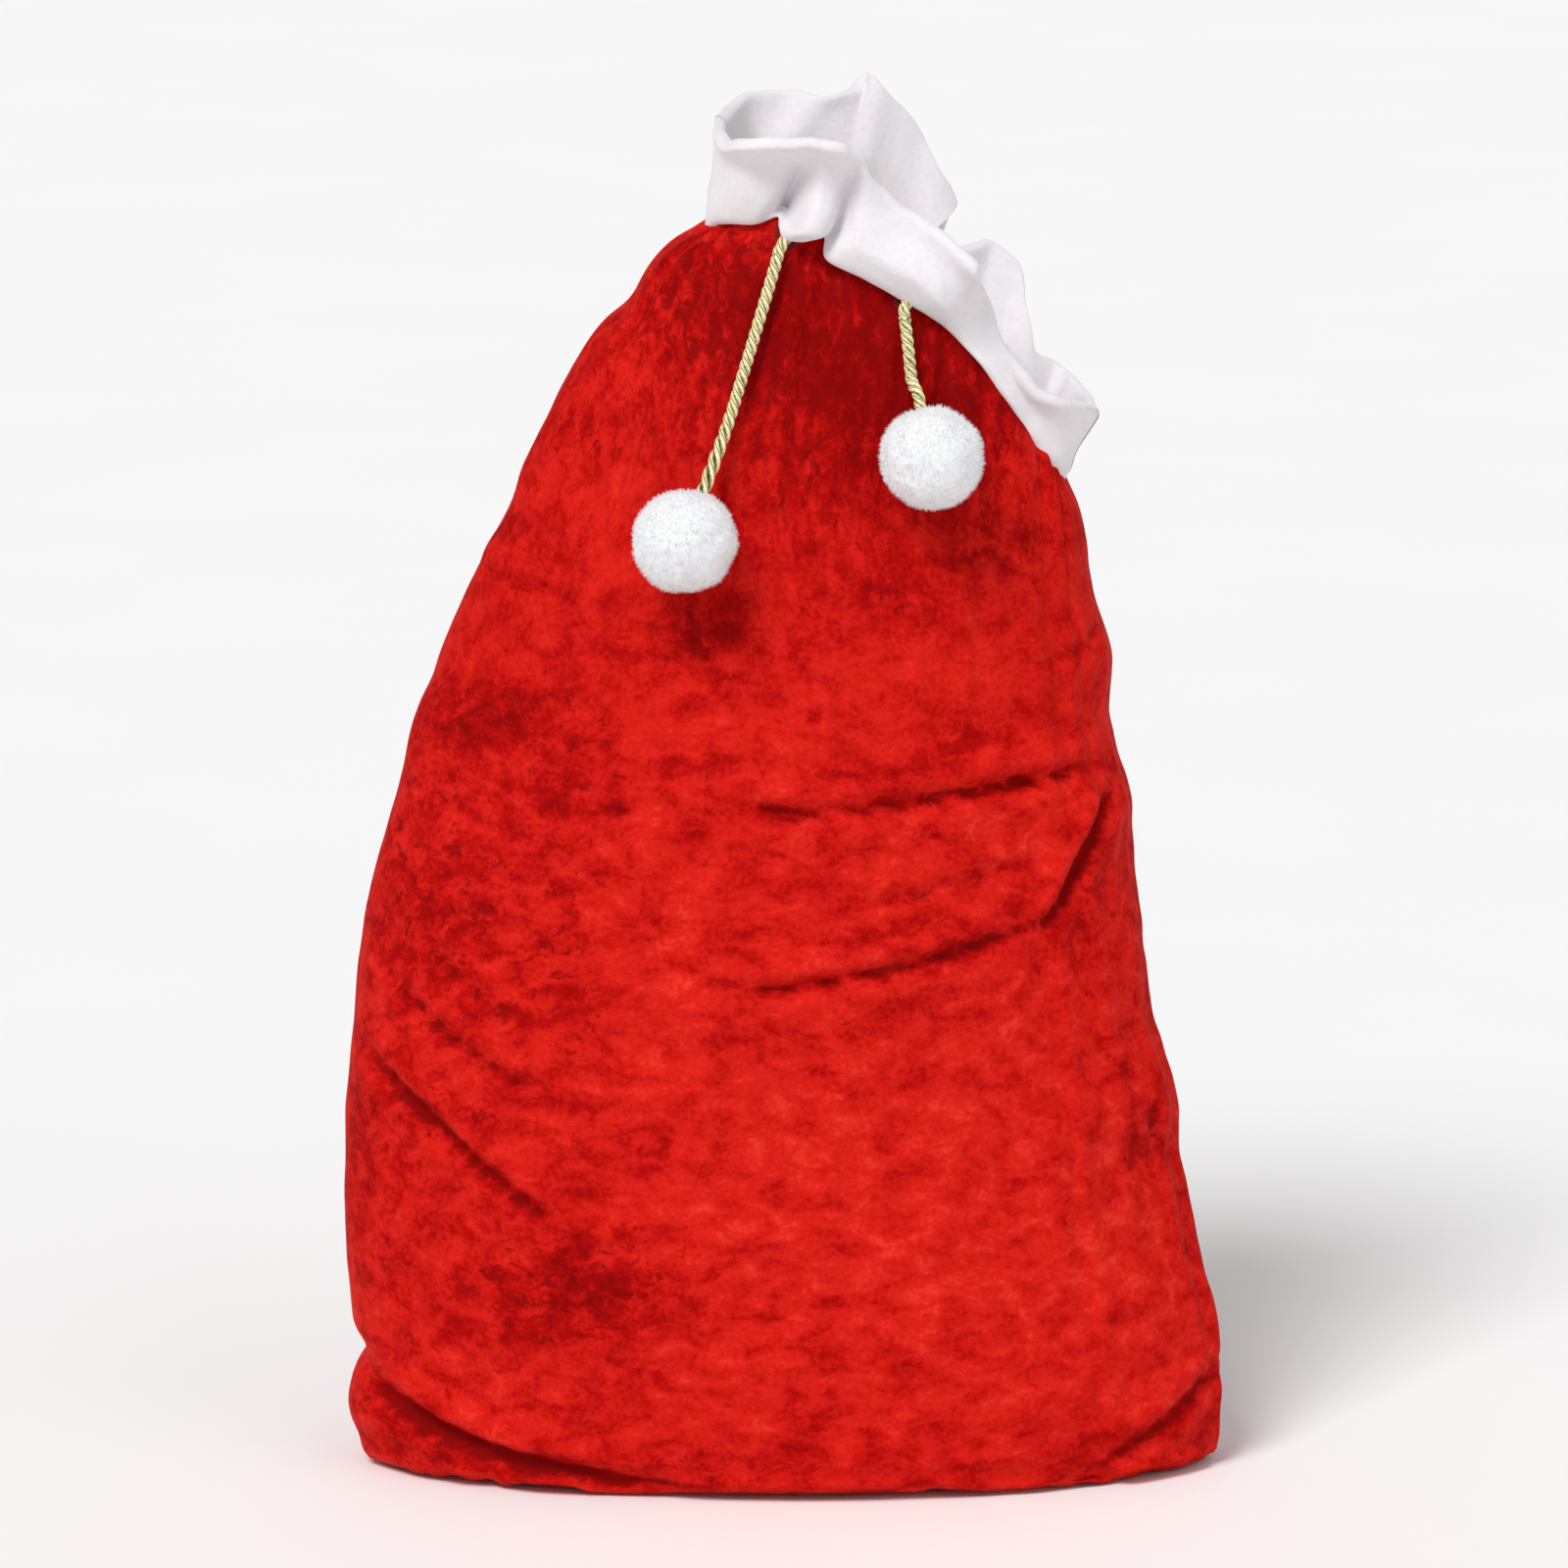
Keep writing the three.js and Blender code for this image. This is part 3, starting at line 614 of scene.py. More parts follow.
BACK_FOLDS = [
    ([(190, 430), (120, 420), (40, 424), (-40, 410)], 6.0, 9.0, 3.5),
    ([(170, 340), (100, 330), (20, 322)], 5.0, 8.0, 3.5),
    ([(-250, 250), (-190, 226), (-120, 200)], 6.0, 8.0, 3.5),
    ([(-236, 330), (-180, 300), (-130, 290)], 4.5, 8.0, 3.0),
    ([(-240, 60), (-160, 30), (-60, 16)], 6.0, 8.0, 3.0),
    ([(240, 70), (190, 34), (120, 18)], 6.0, 8.0, 3.0),
    ([(60, 560), (100, 540), (150, 540)], 3.5, 6.0, 2.0),
    ([(-100, 560), (-60, 540), (-20, 545)], 3.5, 7.0, 2.0),
    ([(-30, 250), (40, 240), (110, 246)], 3.0, 9.0, 2.0),
]


# Where the outline swells or draws in at a side seam: middle x, middle z, reach and size in mm.
SWELLS = [
    (-255, 300, 120, 4.5), (-262, 120, 90, 5.0), (-245, 420, 40, -1.5), (-238, 470, 30, 3.0),
    (250, 95, 50, 6.0), (222, 240, 26, 4.5), (214, 205, 14, -3.0), (196, 410, 22, 4.5), (192, 466, 16, -3.0),
    (190, 500, 20, 4.0), (184, 545, 18, -2.0), (-264, 44, 20, 9.0), (-263, 79, 9, -10.0), (-66, 750, 26, 4.0),
    (-97, 713, 11, -3.5), (-120, 690, 22, 2.5), (-178, 590, 16, -2.5), (-222, 486, 14, -2.5),
]


def outline_swell(p):
    """Soft lumps in the outline, where the contents press out or the seam draws in; none at the mouth."""
    moved = np.full(p.shape[:-1], 0.8)
    for x, z, reach, size in SWELLS:
        far = np.hypot((p[..., 0] - x) / 1.6, p[..., 2] - z)
        moved += size * np.exp(-((far / reach) ** 2))
    return moved * smooth(below_mouth(p), 2, 30)


# Dark patches of pile: some are pile that was crushed dark, some are painted shade along the creases and over
# the left side, and some darken the cloth just below the cuff; negative ones lighten the lower belly. Middle
# x, middle z, half width, half height in mm, and how dark.
FRONT_PATCHES = [
    (-226, 50, 26, 12, 0.8), (-170, 27, 60, 8, 0.8), (30, 690, 95, 70, 1.0), (-195, 330, 80, 230, 0.34),
    (100, 640, 70, 60, 0.7), (-40, 720, 70, 40, 0.5), (-179, 474, 42, 20, 0.7),
    (-129, 450, 13, 130, 0.4), (-124, 141, 54, 26, 0.95), (-60, 533, 40, 30, 0.8), (-205, 353, 42, 42, 0.35),
    (211, 209, 10, 20, 0.9), (-164, 580, 28, 14, 0.6), (-165, 107, 32, 10, 0.6), (-212, 240, 40, 12, 0.55),
    (60, 445, 90, 10, 0.75), (110, 470, 60, 14, 0.3), (100, 350, 90, 12, 0.6), (178, 392, 14, 30, 0.9),
    (60, 545, 60, 24, 0.45), (0, 590, 60, 40, 0.35), (-100, 28, 130, 12, 0.55), (205, 40, 50, 12, 0.5),
    (40, 300, 70, 12, 0.3), (150, 575, 40, 16, 0.5), (-250, 200, 10, 60, 0.3), (-100, 640, 60, 20, 0.35),
    (150, 130, 100, 70, -0.25), (40, 200, 110, 60, -0.25),
]
BACK_PATCHES = [
    (60, 690, 110, 60, 0.8), (-40, 600, 70, 40, 0.5), (140, 430, 60, 22, 0.6), (-150, 420, 60, 26, 0.6),
    (40, 260, 70, 22, 0.5), (-190, 160, 50, 30, 0.7), (170, 140, 50, 26, 0.6), (0, 40, 200, 14, 0.4),
    (-80, 320, 50, 40, 0.35), (120, 560, 40, 24, 0.5),
]


def crush_and_painted_fold_shade(p, valleys, patches):
    """How dark the pile lies at each point: from the patches, crushed pile and painted shade, and from the
    folds, painted shade in their valleys and painted light on their rolls.
    """
    # Painted shade in each fold's valley and painted light on the roll of cloth beside it.
    pile_crush_and_painted_shade = 1.25 * np.clip(-valleys / 6.0, 0, 1) - 0.45 * np.clip(valleys / 6.0, 0, 1)
    for x, z, wide, tall, dark in patches:
        far = ((p[..., 0] - x) / wide) ** 2 + ((p[..., 2] - z) / tall) ** 2
        pile_crush_and_painted_shade += dark * np.exp(-far)
    return pile_crush_and_painted_shade


def seam_pinch(p):
    """How far each panel draws in at its two side seams, with small puckers along them."""
    far = np.minimum(np.linalg.norm(p - p[:, :1], axis=-1), np.linalg.norm(p - p[:, -1:], axis=-1))
    pucker = 1 + 0.5 * np.sin(p[..., 2] / 4.6) * np.sin(p[..., 2] / 17.0 + 1.0)
    return 3.2 * pucker * np.exp(-((far / 5.0) ** 2)) * smooth(p[..., 2], 4, 30)


def seam_guard(angles):
    """1 over a panel and 0 at its side seams, where the two panels meet."""
    return smooth(np.sin(angles), 0.0, 0.10)[None, :]


def fold_depth(p, folds):
    """How far each point moves out along its normal for a list of folds."""
    moved = np.zeros(p.shape[:-1])
    at = p[..., [0, 2]]
    for line, depth, width, roll in folds:
        line = np.array(line, float)
        line = evenly(np.c_[centripetal(np.c_[line, np.zeros(len(line))], np.linspace(0, 1, 60))], 48)[:, :2]
        tangent = unit(np.gradient(line, axis=0))
        best = np.full(moved.shape, 1e9)
        signed, share = np.zeros(moved.shape), np.zeros(moved.shape)
        for k, (q, t) in enumerate(zip(line, tangent)):
            gap = at - q
            far = np.linalg.norm(gap, axis=-1)
            across = gap[..., 1] * abs(t[0]) - gap[..., 0] * t[1] * (1 if t[0] >= 0 else -1)
            closer = far < best
            best = np.where(closer, far, best)
            signed = np.where(closer, np.sign(across) * far, signed)
            share = np.where(closer, k / (len(line) - 1), share)
        ends = smooth(share, 0, 0.22) * (1 - smooth(share, 0.78, 1))
        valley = -depth * np.exp(-((signed / (0.45 * width)) ** 2))
        above = roll * np.exp(-(((signed - 1.1 * width) / width) ** 2))
        below = 0.4 * roll * np.exp(-(((signed + 1.4 * width) / width) ** 2))
        moved += (valley + above + below) * ends
    return moved


def slack(u, z):
    """Spare length of cloth up and down the sack: u goes from the left side seam to the right one."""
    right = smooth(u, 0.30, 0.85) * smooth(z, 200, 330) * (1 - smooth(z, 520, 640))
    left = (1 - smooth(u, 0.0, 0.35)) * smooth(z, 120, 220) * (1 - smooth(z, 420, 520))
    return 0.018 + 0.085 * right + 0.045 * left


def flat_cut(p):
    """The panel laid flat, in mm, with its spare length and width, so that the cloth knows its true size."""
    u = np.linspace(0, 1, p.shape[1])[None, :]
    step = np.linalg.norm(np.diff(p, axis=0), axis=2)
    spare = slack(u, p[1:, :, 2])
    up = np.vstack([np.zeros((1, p.shape[1])), np.cumsum(step * (1 + spare), axis=0)])
    width = np.linalg.norm(np.diff(p, axis=1), axis=2).sum(1)[:, None] * 1.022
    return np.stack([(u - 0.5) * width, np.zeros_like(up), up], -1)


def cloth_index(rows, columns):
    """The cloth's vertex numbers on each panel's grid; the panels share the seams' vertices."""
    front = np.arange(rows * columns).reshape(rows, columns)
    back = np.zeros((rows, columns), int)
    back[0], back[:, 0], back[:, -1] = front[0], front[:, 0], front[:, -1]
    back[1:, 1:-1] = rows * columns + np.arange((rows - 1) * (columns - 2)).reshape(rows - 1, columns - 2)
    return {"front": front, "back": back}


def cloth_faces(index):
    faces = []
    for name, flip in (("front", False), ("back", True)):
        grid = index[name]
        for r in range(grid.shape[0] - 1):
            for c in range(grid.shape[1] - 1):
                quad = [grid[r, c], grid[r, c + 1], grid[r + 1, c + 1], grid[r + 1, c]]
                faces.append([int(k) for k in (quad[::-1] if flip else quad)])
    return faces


def pin_mouth(cloth, down):
    """Pins the cloth near the mouth: wholly at the rim, and less and less down to PIN_REACH."""
    pins = cloth.vertex_groups.new(name="pins")
    for i, d in enumerate(down):
        weight = 1 - smooth(d, *PIN_REACH)
        if weight > 0.001:
            pins.add([i], float(weight), "REPLACE")


def contents_forms():
    """What the cloth rests on while it settles: a form a little smaller than the sack, and the ground."""
    forms = []
    for side in (-1, 1):
        q = wall(np.linspace(0, 0.985, 90), even_angles(91), side)
        q = q - normals(q, side) * CONTENTS_INSET
        q[..., 2] = np.maximum(q[..., 2], 5.0)
        forms.append(mesh_object("contents", q.reshape(-1, 3), grid_faces(90, 91, flip=side > 0)))
    corners = [(-600, -600, 0), (600, -600, 0), (600, 600, 0), (-600, 600, 0)]
    forms.append(mesh_object("ground", corners, [(0, 1, 2, 3)]))
    for form in forms:
        bpy.context.view_layer.objects.active = form
        form.modifiers.new("Collision", "COLLISION")
        form.collision.thickness_outer = 0.002
        form.collision.cloth_friction = 8.0
    return forms


VELVET_CLOTH = {
    "quality": 6, "mass": 0.25, "tension_stiffness": 18, "compression_stiffness": 18, "shear_stiffness": 6,
    "bending_stiffness": 0.35, "tension_damping": 8, "compression_damping": 8, "shear_damping": 8,
    "air_damping": 1.5, "vertex_group_mass": "pins", "pin_stiffness": 3.0, "use_pressure": True,
    "uniform_pressure_force": 0.6,
}


def settle(cloth, flat_key):
    """Runs the cloth for SETTLE_FRAMES frames and returns where its points end, in mm."""
    modifier = cloth.modifiers.new("Cloth", "CLOTH")
    for name, value in VELVET_CLOTH.items():
        setattr(modifier.settings, name, value)
    modifier.settings.rest_shape_key = flat_key
    modifier.collision_settings.distance_min = 0.0015
    modifier.collision_settings.collision_quality = 2
    modifier.point_cache.frame_start = 1
    modifier.point_cache.frame_end = SETTLE_FRAMES
    scene = bpy.context.scene
    scene.frame_start, scene.frame_end = 1, SETTLE_FRAMES
    for f in range(1, SETTLE_FRAMES + 1):
        scene.frame_set(f)
    view = cloth.evaluated_get(bpy.context.evaluated_depsgraph_get())
    settled = np.zeros(len(cloth.data.vertices) * 3)
    view.data.vertices.foreach_get("co", settled)
    scene.frame_set(1)
    return settled.reshape(-1, 3) / MM


def drape(p_front, p_back):
    """Lets the velvet settle over the sack's contents; returns the two panels' points."""
    index = cloth_index(*p_front.shape[:2])
    points = np.vstack([p_front.reshape(-1, 3), p_back[1:, 1:-1].reshape(-1, 3)])
    flats = np.vstack([flat_cut(p_front).reshape(-1, 3), flat_cut(p_back)[1:, 1:-1].reshape(-1, 3)])
    cloth = mesh_object("velvet_cloth", points, cloth_faces(index))
    cloth.shape_key_add(name="Basis")
    key = cloth.shape_key_add(name="flat")
    key.data.foreach_set("co", (flats * MM).ravel())
    key.value = 0.0
    down = np.zeros(len(points))
    down[index["front"]] = below_mouth(p_front)
    down[index["back"]] = np.where(down[index["back"]] > 0, down[index["back"]], below_mouth(p_back))
    pin_mouth(cloth, down)
    forms = contents_forms()
    settled = settle(cloth, key)
    for o in [cloth, *forms]:
        bpy.data.objects.remove(o)
    return settled[index["front"]], settled[index["back"]]


def keep_near(p, start, n, out, back):
    """Holds settled points near the CAD surface: not more than out outside it or back inside it."""
    move = p - start
    along = (move * n).sum(-1, keepdims=True)
    across = move - n * along
    size = np.linalg.norm(across, axis=-1, keepdims=True)
    across *= np.minimum(1, 22.0 / np.maximum(size, 1e-6))
    return start + across + n * np.clip(along, -back, out)


def join_edges(front, back):
    """Brings the two panels together along the side seams and the bottom seam."""
    for edge in (np.s_[:, 0], np.s_[:, -1], np.s_[0]):
        front[edge] = back[edge] = (front[edge] + back[edge]) / 2


def velvet_start():
    """The two panels before they settle, with their gathers, and their outward normals."""
    heights = even_heights(ROWS + 1)
    angles = even_angles(COLUMNS + 1)
    start, out = {}, {}
    for name, side in SIDES:
        p = wall(heights, angles, side)
        p[:, [0, -1], 1] = 0.0
        out[name] = normals(p, side)
        start[name] = p + out[name] * pleats(p, side)[..., None]
        start[name][:, :, 2] = np.maximum(start[name][:, :, 2], 0.5)
    join_edges(start["front"], start["back"])
    return start, out, angles


def crease(settled, start, out, angles, folds):
    """A settled panel with its folds, lumps and drawn-in seams; also how far the folds move each point."""
    valleys = fold_depth(start, folds) * seam_guard(angles)
    lumps = 2.6 * noise3(start, 95.0, 7.7, 2) + 1.1 * noise3(start, 34.0, 2.2, 2)
    lumps = lumps * smooth(below_mouth(start), 20, 160) * smooth(start[..., 2], 2, 40)
    way = out.copy()
    way[..., 1] *= seam_guard(angles)
    moved = valleys + lumps + outline_swell(start) - seam_pinch(start)
    p = settled + unit(way) * moved[..., None]
    p[..., 2] = np.maximum(p[..., 2], LOWEST)
    return p, valleys


def add_velvet():
    """The two velvet panels, each with a value at every point that says how dark its pile lies: crushed
    patches, and painted shade in the folds and along creases.
    """
    start, out, angles = velvet_start()
    shape = dict(start)
    settled = dict(zip(("front", "back"), drape(start["front"], start["back"])))
    for name, _ in SIDES:
        shape[name] = keep_near(settled[name], start[name], out[name], SETTLE_OUT, SETTLE_BACK)
    crush_and_painted_shades = {}
    for name, folds, patches in (("front", FRONT_FOLDS, FRONT_PATCHES), ("back", BACK_FOLDS, BACK_PATCHES)):
        shape[name], valleys = crease(shape[name], start[name], out[name], angles, folds)
        crush_and_painted_shades[name] = crush_and_painted_fold_shade(start[name], valleys, patches)
    join_edges(shape["front"], shape["back"])
    made = {}
    for name, side in SIDES:
        faces = grid_faces(ROWS + 1, COLUMNS + 1, flip=side > 0)
        made[name] = mesh_object(f"velvet_{name}", shape[name].reshape(-1, 3), faces)
        # The point attribute carries crushed patches, painted shade and painted light on the folds' rolls to
        # the velvet material.
        layer = made[name].data.attributes.new("crush_and_painted_shade", "FLOAT", "POINT")
        layer.data.foreach_set("value", crush_and_painted_shades[name].ravel().astype(np.float32))
        subdivide(made[name])
        made[name].data.materials.append(crushed_velvet())
        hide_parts(f"{name}_panel", f"mouth_band_{name}")
    return made


def blend_velvet(piece, side):
    """Bakes a piece's transform into its mesh."""
    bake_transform(piece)


# ---- Pieces inside the mouth and along the seams ---------------------------------------------------
CHANNEL_DROP = 3.0
CHANNEL_HEIGHT = 18.0
SEAM_WIDTH = 9.0
SEAM_INSET = 9.5
CHANNEL_CORD_DEPTH = 8.0
SLIT_STITCHES = 34
SLIT_STITCH_REACH = (4.3, 6.1)
SLIT_STITCH_RADIUS = 0.62


def near_mouth(distances, angles, side):
    """Points on the wall at distances down the cloth from the mouth (rows) and at angles (columns)."""
    p = wall(np.linspace(0.9, 1.0, 120), angles, side)[::-1]
    walked = np.vstack([np.zeros((1, len(angles))),
                        np.cumsum(np.linalg.norm(np.diff(p, axis=0), axis=2), axis=0)])
    rows = [[[np.interp(d, walked[:, c], p[:, c, k]) for k in range(3)] for c in range(len(angles))]
            for d in distances]
    return np.array(rows)[::-1]


def add_channel_tape(name, side):
    """The tape on the inside that closes the cord's channel, gathered with the velvet."""
    angles = np.linspace(0.06, np.pi - 0.06, 220)
    t = np.linspace(0, 1, 13)
    p = near_mouth(CHANNEL_DROP + CHANNEL_HEIGHT * t, angles, side)
    n = normals(p, side)
    depth = 3.2 + 11.0 * (1 - (2 * t[::-1] - 1) ** 4)
    gathers = 0.9 * np.sin(angles * 34 + 2 * np.sin(3 * angles)) * (0.4 + 0.6 * np.sin(np.pi * t))[:, None]
    face = p - n * (depth[:, None] + gathers + 0.3)[..., None]
    back = face - n * 1.2
    ring = np.concatenate([face, back[::-1]])
    made = mesh_object(f"channel_tape_{name}_gathered", ring.reshape(-1, 3),
                       closed_faces(len(ring), len(angles), flip=side < 0))
    made.data.materials.append(red_tape())
    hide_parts(f"channel_tape_{name}")
    blend_velvet(made, side)


def channel_line(angles, side):
    """The middle of the cord's channel at angles round the mouth."""
    middle = CHANNEL_DROP + CHANNEL_HEIGHT / 2
    p = near_mouth([middle - 2, middle, middle + 2], angles, side)
    return (p - normals(p, side) * CHANNEL_CORD_DEPTH)[1]


def add_channel_cord(name, side, lead=None):
    """The cord inside its channel: all the way round one half, or from a side seam to where a lead begins."""
    angles = np.linspace(0.08, np.pi - 0.08, 400)
    line = channel_line(angles, side)
    if lead is not None:
        turn = np.argmin(np.linalg.norm(line - lead[0], axis=1))
        run = line[:turn - 12] if lead[0, 0] < MOUTH_MIDDLE[0] else line[:turn + 12:-1]
        line = np.vstack([run, lead[1:4]])
    made, _ = twisted(f"{name}_twist", line)
    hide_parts(name)
    blend_velvet(made, side)


def closed_faces(rows, columns, flip=False):
    """Faces of a tube whose section is a column of rows points, with both of its ends shut."""
    faces = []
    for r in range(rows):
        for c in range(columns - 1):
            e = (r + 1) % rows
            quad = [r * columns + c, r * columns + c + 1, e * columns + c + 1, e * columns + c]
            faces.append(quad[::-1] if flip else quad)
    first = [r * columns for r in range(rows)]
    last = [r * columns + columns - 1 for r in range(rows)]
    faces += [first[::-1] if flip else first, last if flip else last[::-1]]
    return faces


def add_seam_allowance(name, line, inwards):
    """An overlocked seam allowance inside the sack: line is the seam, and inwards points off it."""
    count = len(line)
    out = np.array([0.0, 1.0, 0.0])
    walked = np.linspace(0, line_length(line), count)
    wave = (0.8 * np.sin(walked / 11.0) + 0.5 * np.sin(walked / 4.3))[:, None] * out
    thread = 0.25 * np.sin(walked * 2.2)
    section = [(0.0, 0.8), (0.35, 1.7), (0.8, 2.1), (1.0, 1.2)]
    loop = section + [(a, -h) for a, h in section[::-1]]
    rows = []
    for across, half in loop:
        surface = (half + np.sign(half) * thread)[:, None]
        rows.append(line + inwards * (SEAM_INSET + SEAM_WIDTH * across) + wave * across + out * surface)
    ring = np.array(rows)
    made = mesh_object(name + "_allowance", ring.reshape(-1, 3), closed_faces(len(ring), count))
    made.data.materials.append(red_tape())
    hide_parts(name)
    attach(made, "sack")


def add_seams():
    """The allowances of the two side seams and of the bottom seam."""
    t = np.linspace(0.24, 0.965, 260)
    for name, line, sign in (("left", LEFT_SEAM, 1), ("right", RIGHT_SEAM, -1)):
        p = centripetal(line, t)
        tangent = unit(np.gradient(p, axis=0))
        inwards = unit(np.stack([sign * tangent[:, 2], 0 * t, -sign * tangent[:, 0]], 1))
        add_seam_allowance(f"{name}_side_seam", p, inwards)
    x = np.linspace(-212, 212, 260)
    base = np.stack([x, 0 * x, 0 * x], 1)
    add_seam_allowance("bottom_seam", base, np.array([0.0, 0.0, 1.0]))


def capsule(a, b, radius, sides=8):
    """Points and faces of a short rounded stitch from a to b."""
    axis = unit(b - a)
    side = unit(np.cross(axis, (0.21, 0.43, 0.88)))
    other = np.cross(axis, side)
    ring = 2 * np.pi * np.arange(sides) / sides
    loop = np.cos(ring)[:, None] * side + np.sin(ring)[:, None] * other
    cap = axis * radius * 0.7
    stops = [(a - cap, 0.45), (a, 0.92), ((a + b) / 2, 1.0), (b, 0.92), (b + cap, 0.45)]
    points = np.vstack([c + loop * radius * k for c, k in stops])
    faces = grid_faces(len(stops), sides, wrap=True)
    faces += [list(range(sides))[::-1], [(len(stops) - 1) * sides + k for k in range(sides)]]
    return points, faces


def mesh_points(piece):
    """A mesh's points, in mm."""
    co = np.zeros(len(piece.data.vertices) * 3)
    piece.data.vertices.foreach_get("co", co)
    return co.reshape(-1, 3) / MM


def nearest(points, spot, count):
    return points[np.argsort(np.linalg.norm(points - spot, axis=1))[:count]]


def add_buttonhole(side, velvet_piece):
    """Close stitches round the slit that the cord comes out of, lying on the velvet."""
    start, end = (np.array(CORD_ENDS[side]["lead"][k], float) for k in (3, 5))
    co = mesh_points(velvet_piece)
    near = nearest(co, (start + end) / 2, 60)
    centre = near.mean(0)
    out = np.linalg.svd(near - centre)[2][2]
    out = out if out[1] < 0 else -out
    along = unit((end - start) - out * np.dot(end - start, out))
    across = np.cross(out, along)
    points, faces = [], []
    for a in 2 * np.pi * np.arange(SLIT_STITCHES) / SLIT_STITCHES:
        ray = np.cos(a) * along * 1.5 + np.sin(a) * across
        pair = []
        for reach in SLIT_STITCH_REACH:
            q = centre + ray * reach
            close = nearest(co, q, 6).mean(0)
            pair.append(q + out * (np.dot(close - q, out) + 0.35))
        new, quads = capsule(pair[0], pair[1], SLIT_STITCH_RADIUS)
        base = sum(len(x) for x in points)
        points.append(new)
        faces += [[base + i for i in f] for f in quads]
    made = mesh_object(f"{side}_buttonhole_stitches", np.vstack(points), faces)
    made.data.materials.append(red_stitching())
    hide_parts(f"{side}_buttonhole")
    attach(made, "mouth_front")


# ---- Cuff ------------------------------------------------------------------------------------------
# Where each fold of the cuff runs, from the left side seam to the right one: the angle round the mouth where
# it is sewn on, how far it hangs below the mouth's edge, how far it draws in under its upper edge, its middle
# and its upper edge, in mm and degrees.
CUFF_FOLDS = {
    "front": [
        (0, 3, 0, (-43, 0, 788), (-42, 0, 821)), (18, 5, 4, (-40, -28, 786), (-43, -34, 815)),
        (32, 7, 8, (-33, -48, 786), (-37, -60, 810)), (44, 10, 10, (-20, -58, 784), (-20, -82, 812)),
        (50, 10, 12, (-8, -58, 778), (4, -92, 814)), (55.5, 3, 14, (0, -40, 772), (14, -95, 814)),
        (59, 10, 15, (3, -62, 765), (22, -97, 814)), (64, 17, 15, (12, -84, 763), (29, -97, 814)),
        (69, 15, 15, (22, -82, 760), (37, -94, 812)), (73, 7, 10, (29, -60, 760), (43, -88, 808)),
        (78, 21, 3, (38, -78, 758), (49, -80, 798)), (89, 20, 2, (57, -82, 748), (57, -73, 788)),
        (99, 16, 2, (77, -84, 735), (70, -74, 774)), (106, 12, 4, (91, -82, 722), (90, -82, 760)),
        (111, 9, 6, (99, -68, 712), (111, -93, 740)), (117, 7, 3, (109, -56, 698), (118, -62, 726)),
        (128, 6, 0, (125, -50, 674), (127, -46, 698)), (142, 6, 3, (143, -42, 650), (141, -50, 664)),
        (156, 6, 4, (157, -33, 632), (160, -47, 656)), (168, 5, 2, (166, -21, 620), (178, -28, 651)),
        (180, 4, 0, (172, 0, 618), (188, 0, 643)),
    ],
    "back": [
        (0, 3, 0, (-43, 0, 788), (-42, 0, 821)), (20, 6, 0, (-38, 28, 790), (-37, 30, 822)),
        (35, 6, 0, (-26, 46, 793), (-22, 54, 824)), (50, 6, 0, (-8, 58, 795), (6, 76, 824)),
        (62, 6, 0, (10, 60, 794), (25, 69, 821)), (70, 6, 0, (24, 60, 791), (37, 74, 824)),
        (76, 6, 0, (36, 68, 788), (45, 90, 833)), (84, 6, 0, (50, 72, 776), (60, 91, 820)),
        (92, 6, 0, (64, 72, 762), (76, 90, 802)), (100, 6, 0, (79, 72, 746), (89, 87, 776)),
        (106, 6, 0, (88, 66, 734), (99, 89, 748)), (111, 6, 0, (91, 52, 724), (92, 60, 736)),
        (116, 6, 0, (98, 56, 716), (102, 62, 733)), (122, 6, 0, (112, 68, 704), (119, 84, 732)),
        (130, 6, 0, (128, 68, 688), (137, 87, 718)), (136, 6, 0, (136, 60, 678), (143, 80, 704)),
        (144, 6, 0, (142, 44, 658), (142, 55, 670)), (152, 6, 0, (151, 46, 645), (158, 61, 662)),
        (162, 6, 0, (162, 34, 630), (176, 48, 652)), (172, 5, 0, (168, 16, 620), (185, 24, 647)),
        (180, 4, 0, (172, 0, 618), (188, 0, 643)),
    ],
}
CUFF_COLUMNS = 180
CUFF_ROWS = 22
CUFF_THICKNESS = 9.0
CUFF_OVERLAP = 1.2


def soften(p, times, keep_ends=True):
    """Evens out a grid of points along both of its directions; keep_ends leaves its side columns alone."""
    q = p.copy()
    for _ in range(times):
        mean = q.copy()
        mean[1:-1] = (q[:-2] + q[2:]) / 2
        wide = q.copy()
        wide[:, 1:-1] = (q[:, :-2] + q[:, 2:]) / 2
        q = q * 0.5 + mean * 0.25 + wide * 0.25
        if keep_ends:
            q[:, 0], q[:, -1] = p[:, 0], p[:, -1]
    return q


# Extra waves in each half of the cuff: place along it from 0 to 1, width, and size in mm.
RUFFLES = {
    "front": [(0.14, 0.03, 2.0), (0.82, 0.025, 2.0)],
    "back": [(0.10, 0.03, 5.0), (0.17, 0.03, -5.0), (0.25, 0.035, 6.0), (0.33, 0.03, -6.0), (0.42, 0.03, 4.0),
             (0.55, 0.03, -4.0), (0.64, 0.03, 4.0), (0.86, 0.025, 4.0), (0.91, 0.02, -4.0)],
}


def ruffle(name, u):
    """How far the cuff is pushed out by its extra waves at each place along it."""
    return sum(size * np.exp(-(((u - at) / wide) ** 2)) for at, wide, size in RUFFLES[name])


def rise_of(rows):
    """0 at both feet of the cuff's section and 1 at its upper edge."""
    place = np.arange(rows) / (rows - 1)
    return np.sin(np.pi * place) ** 0.8


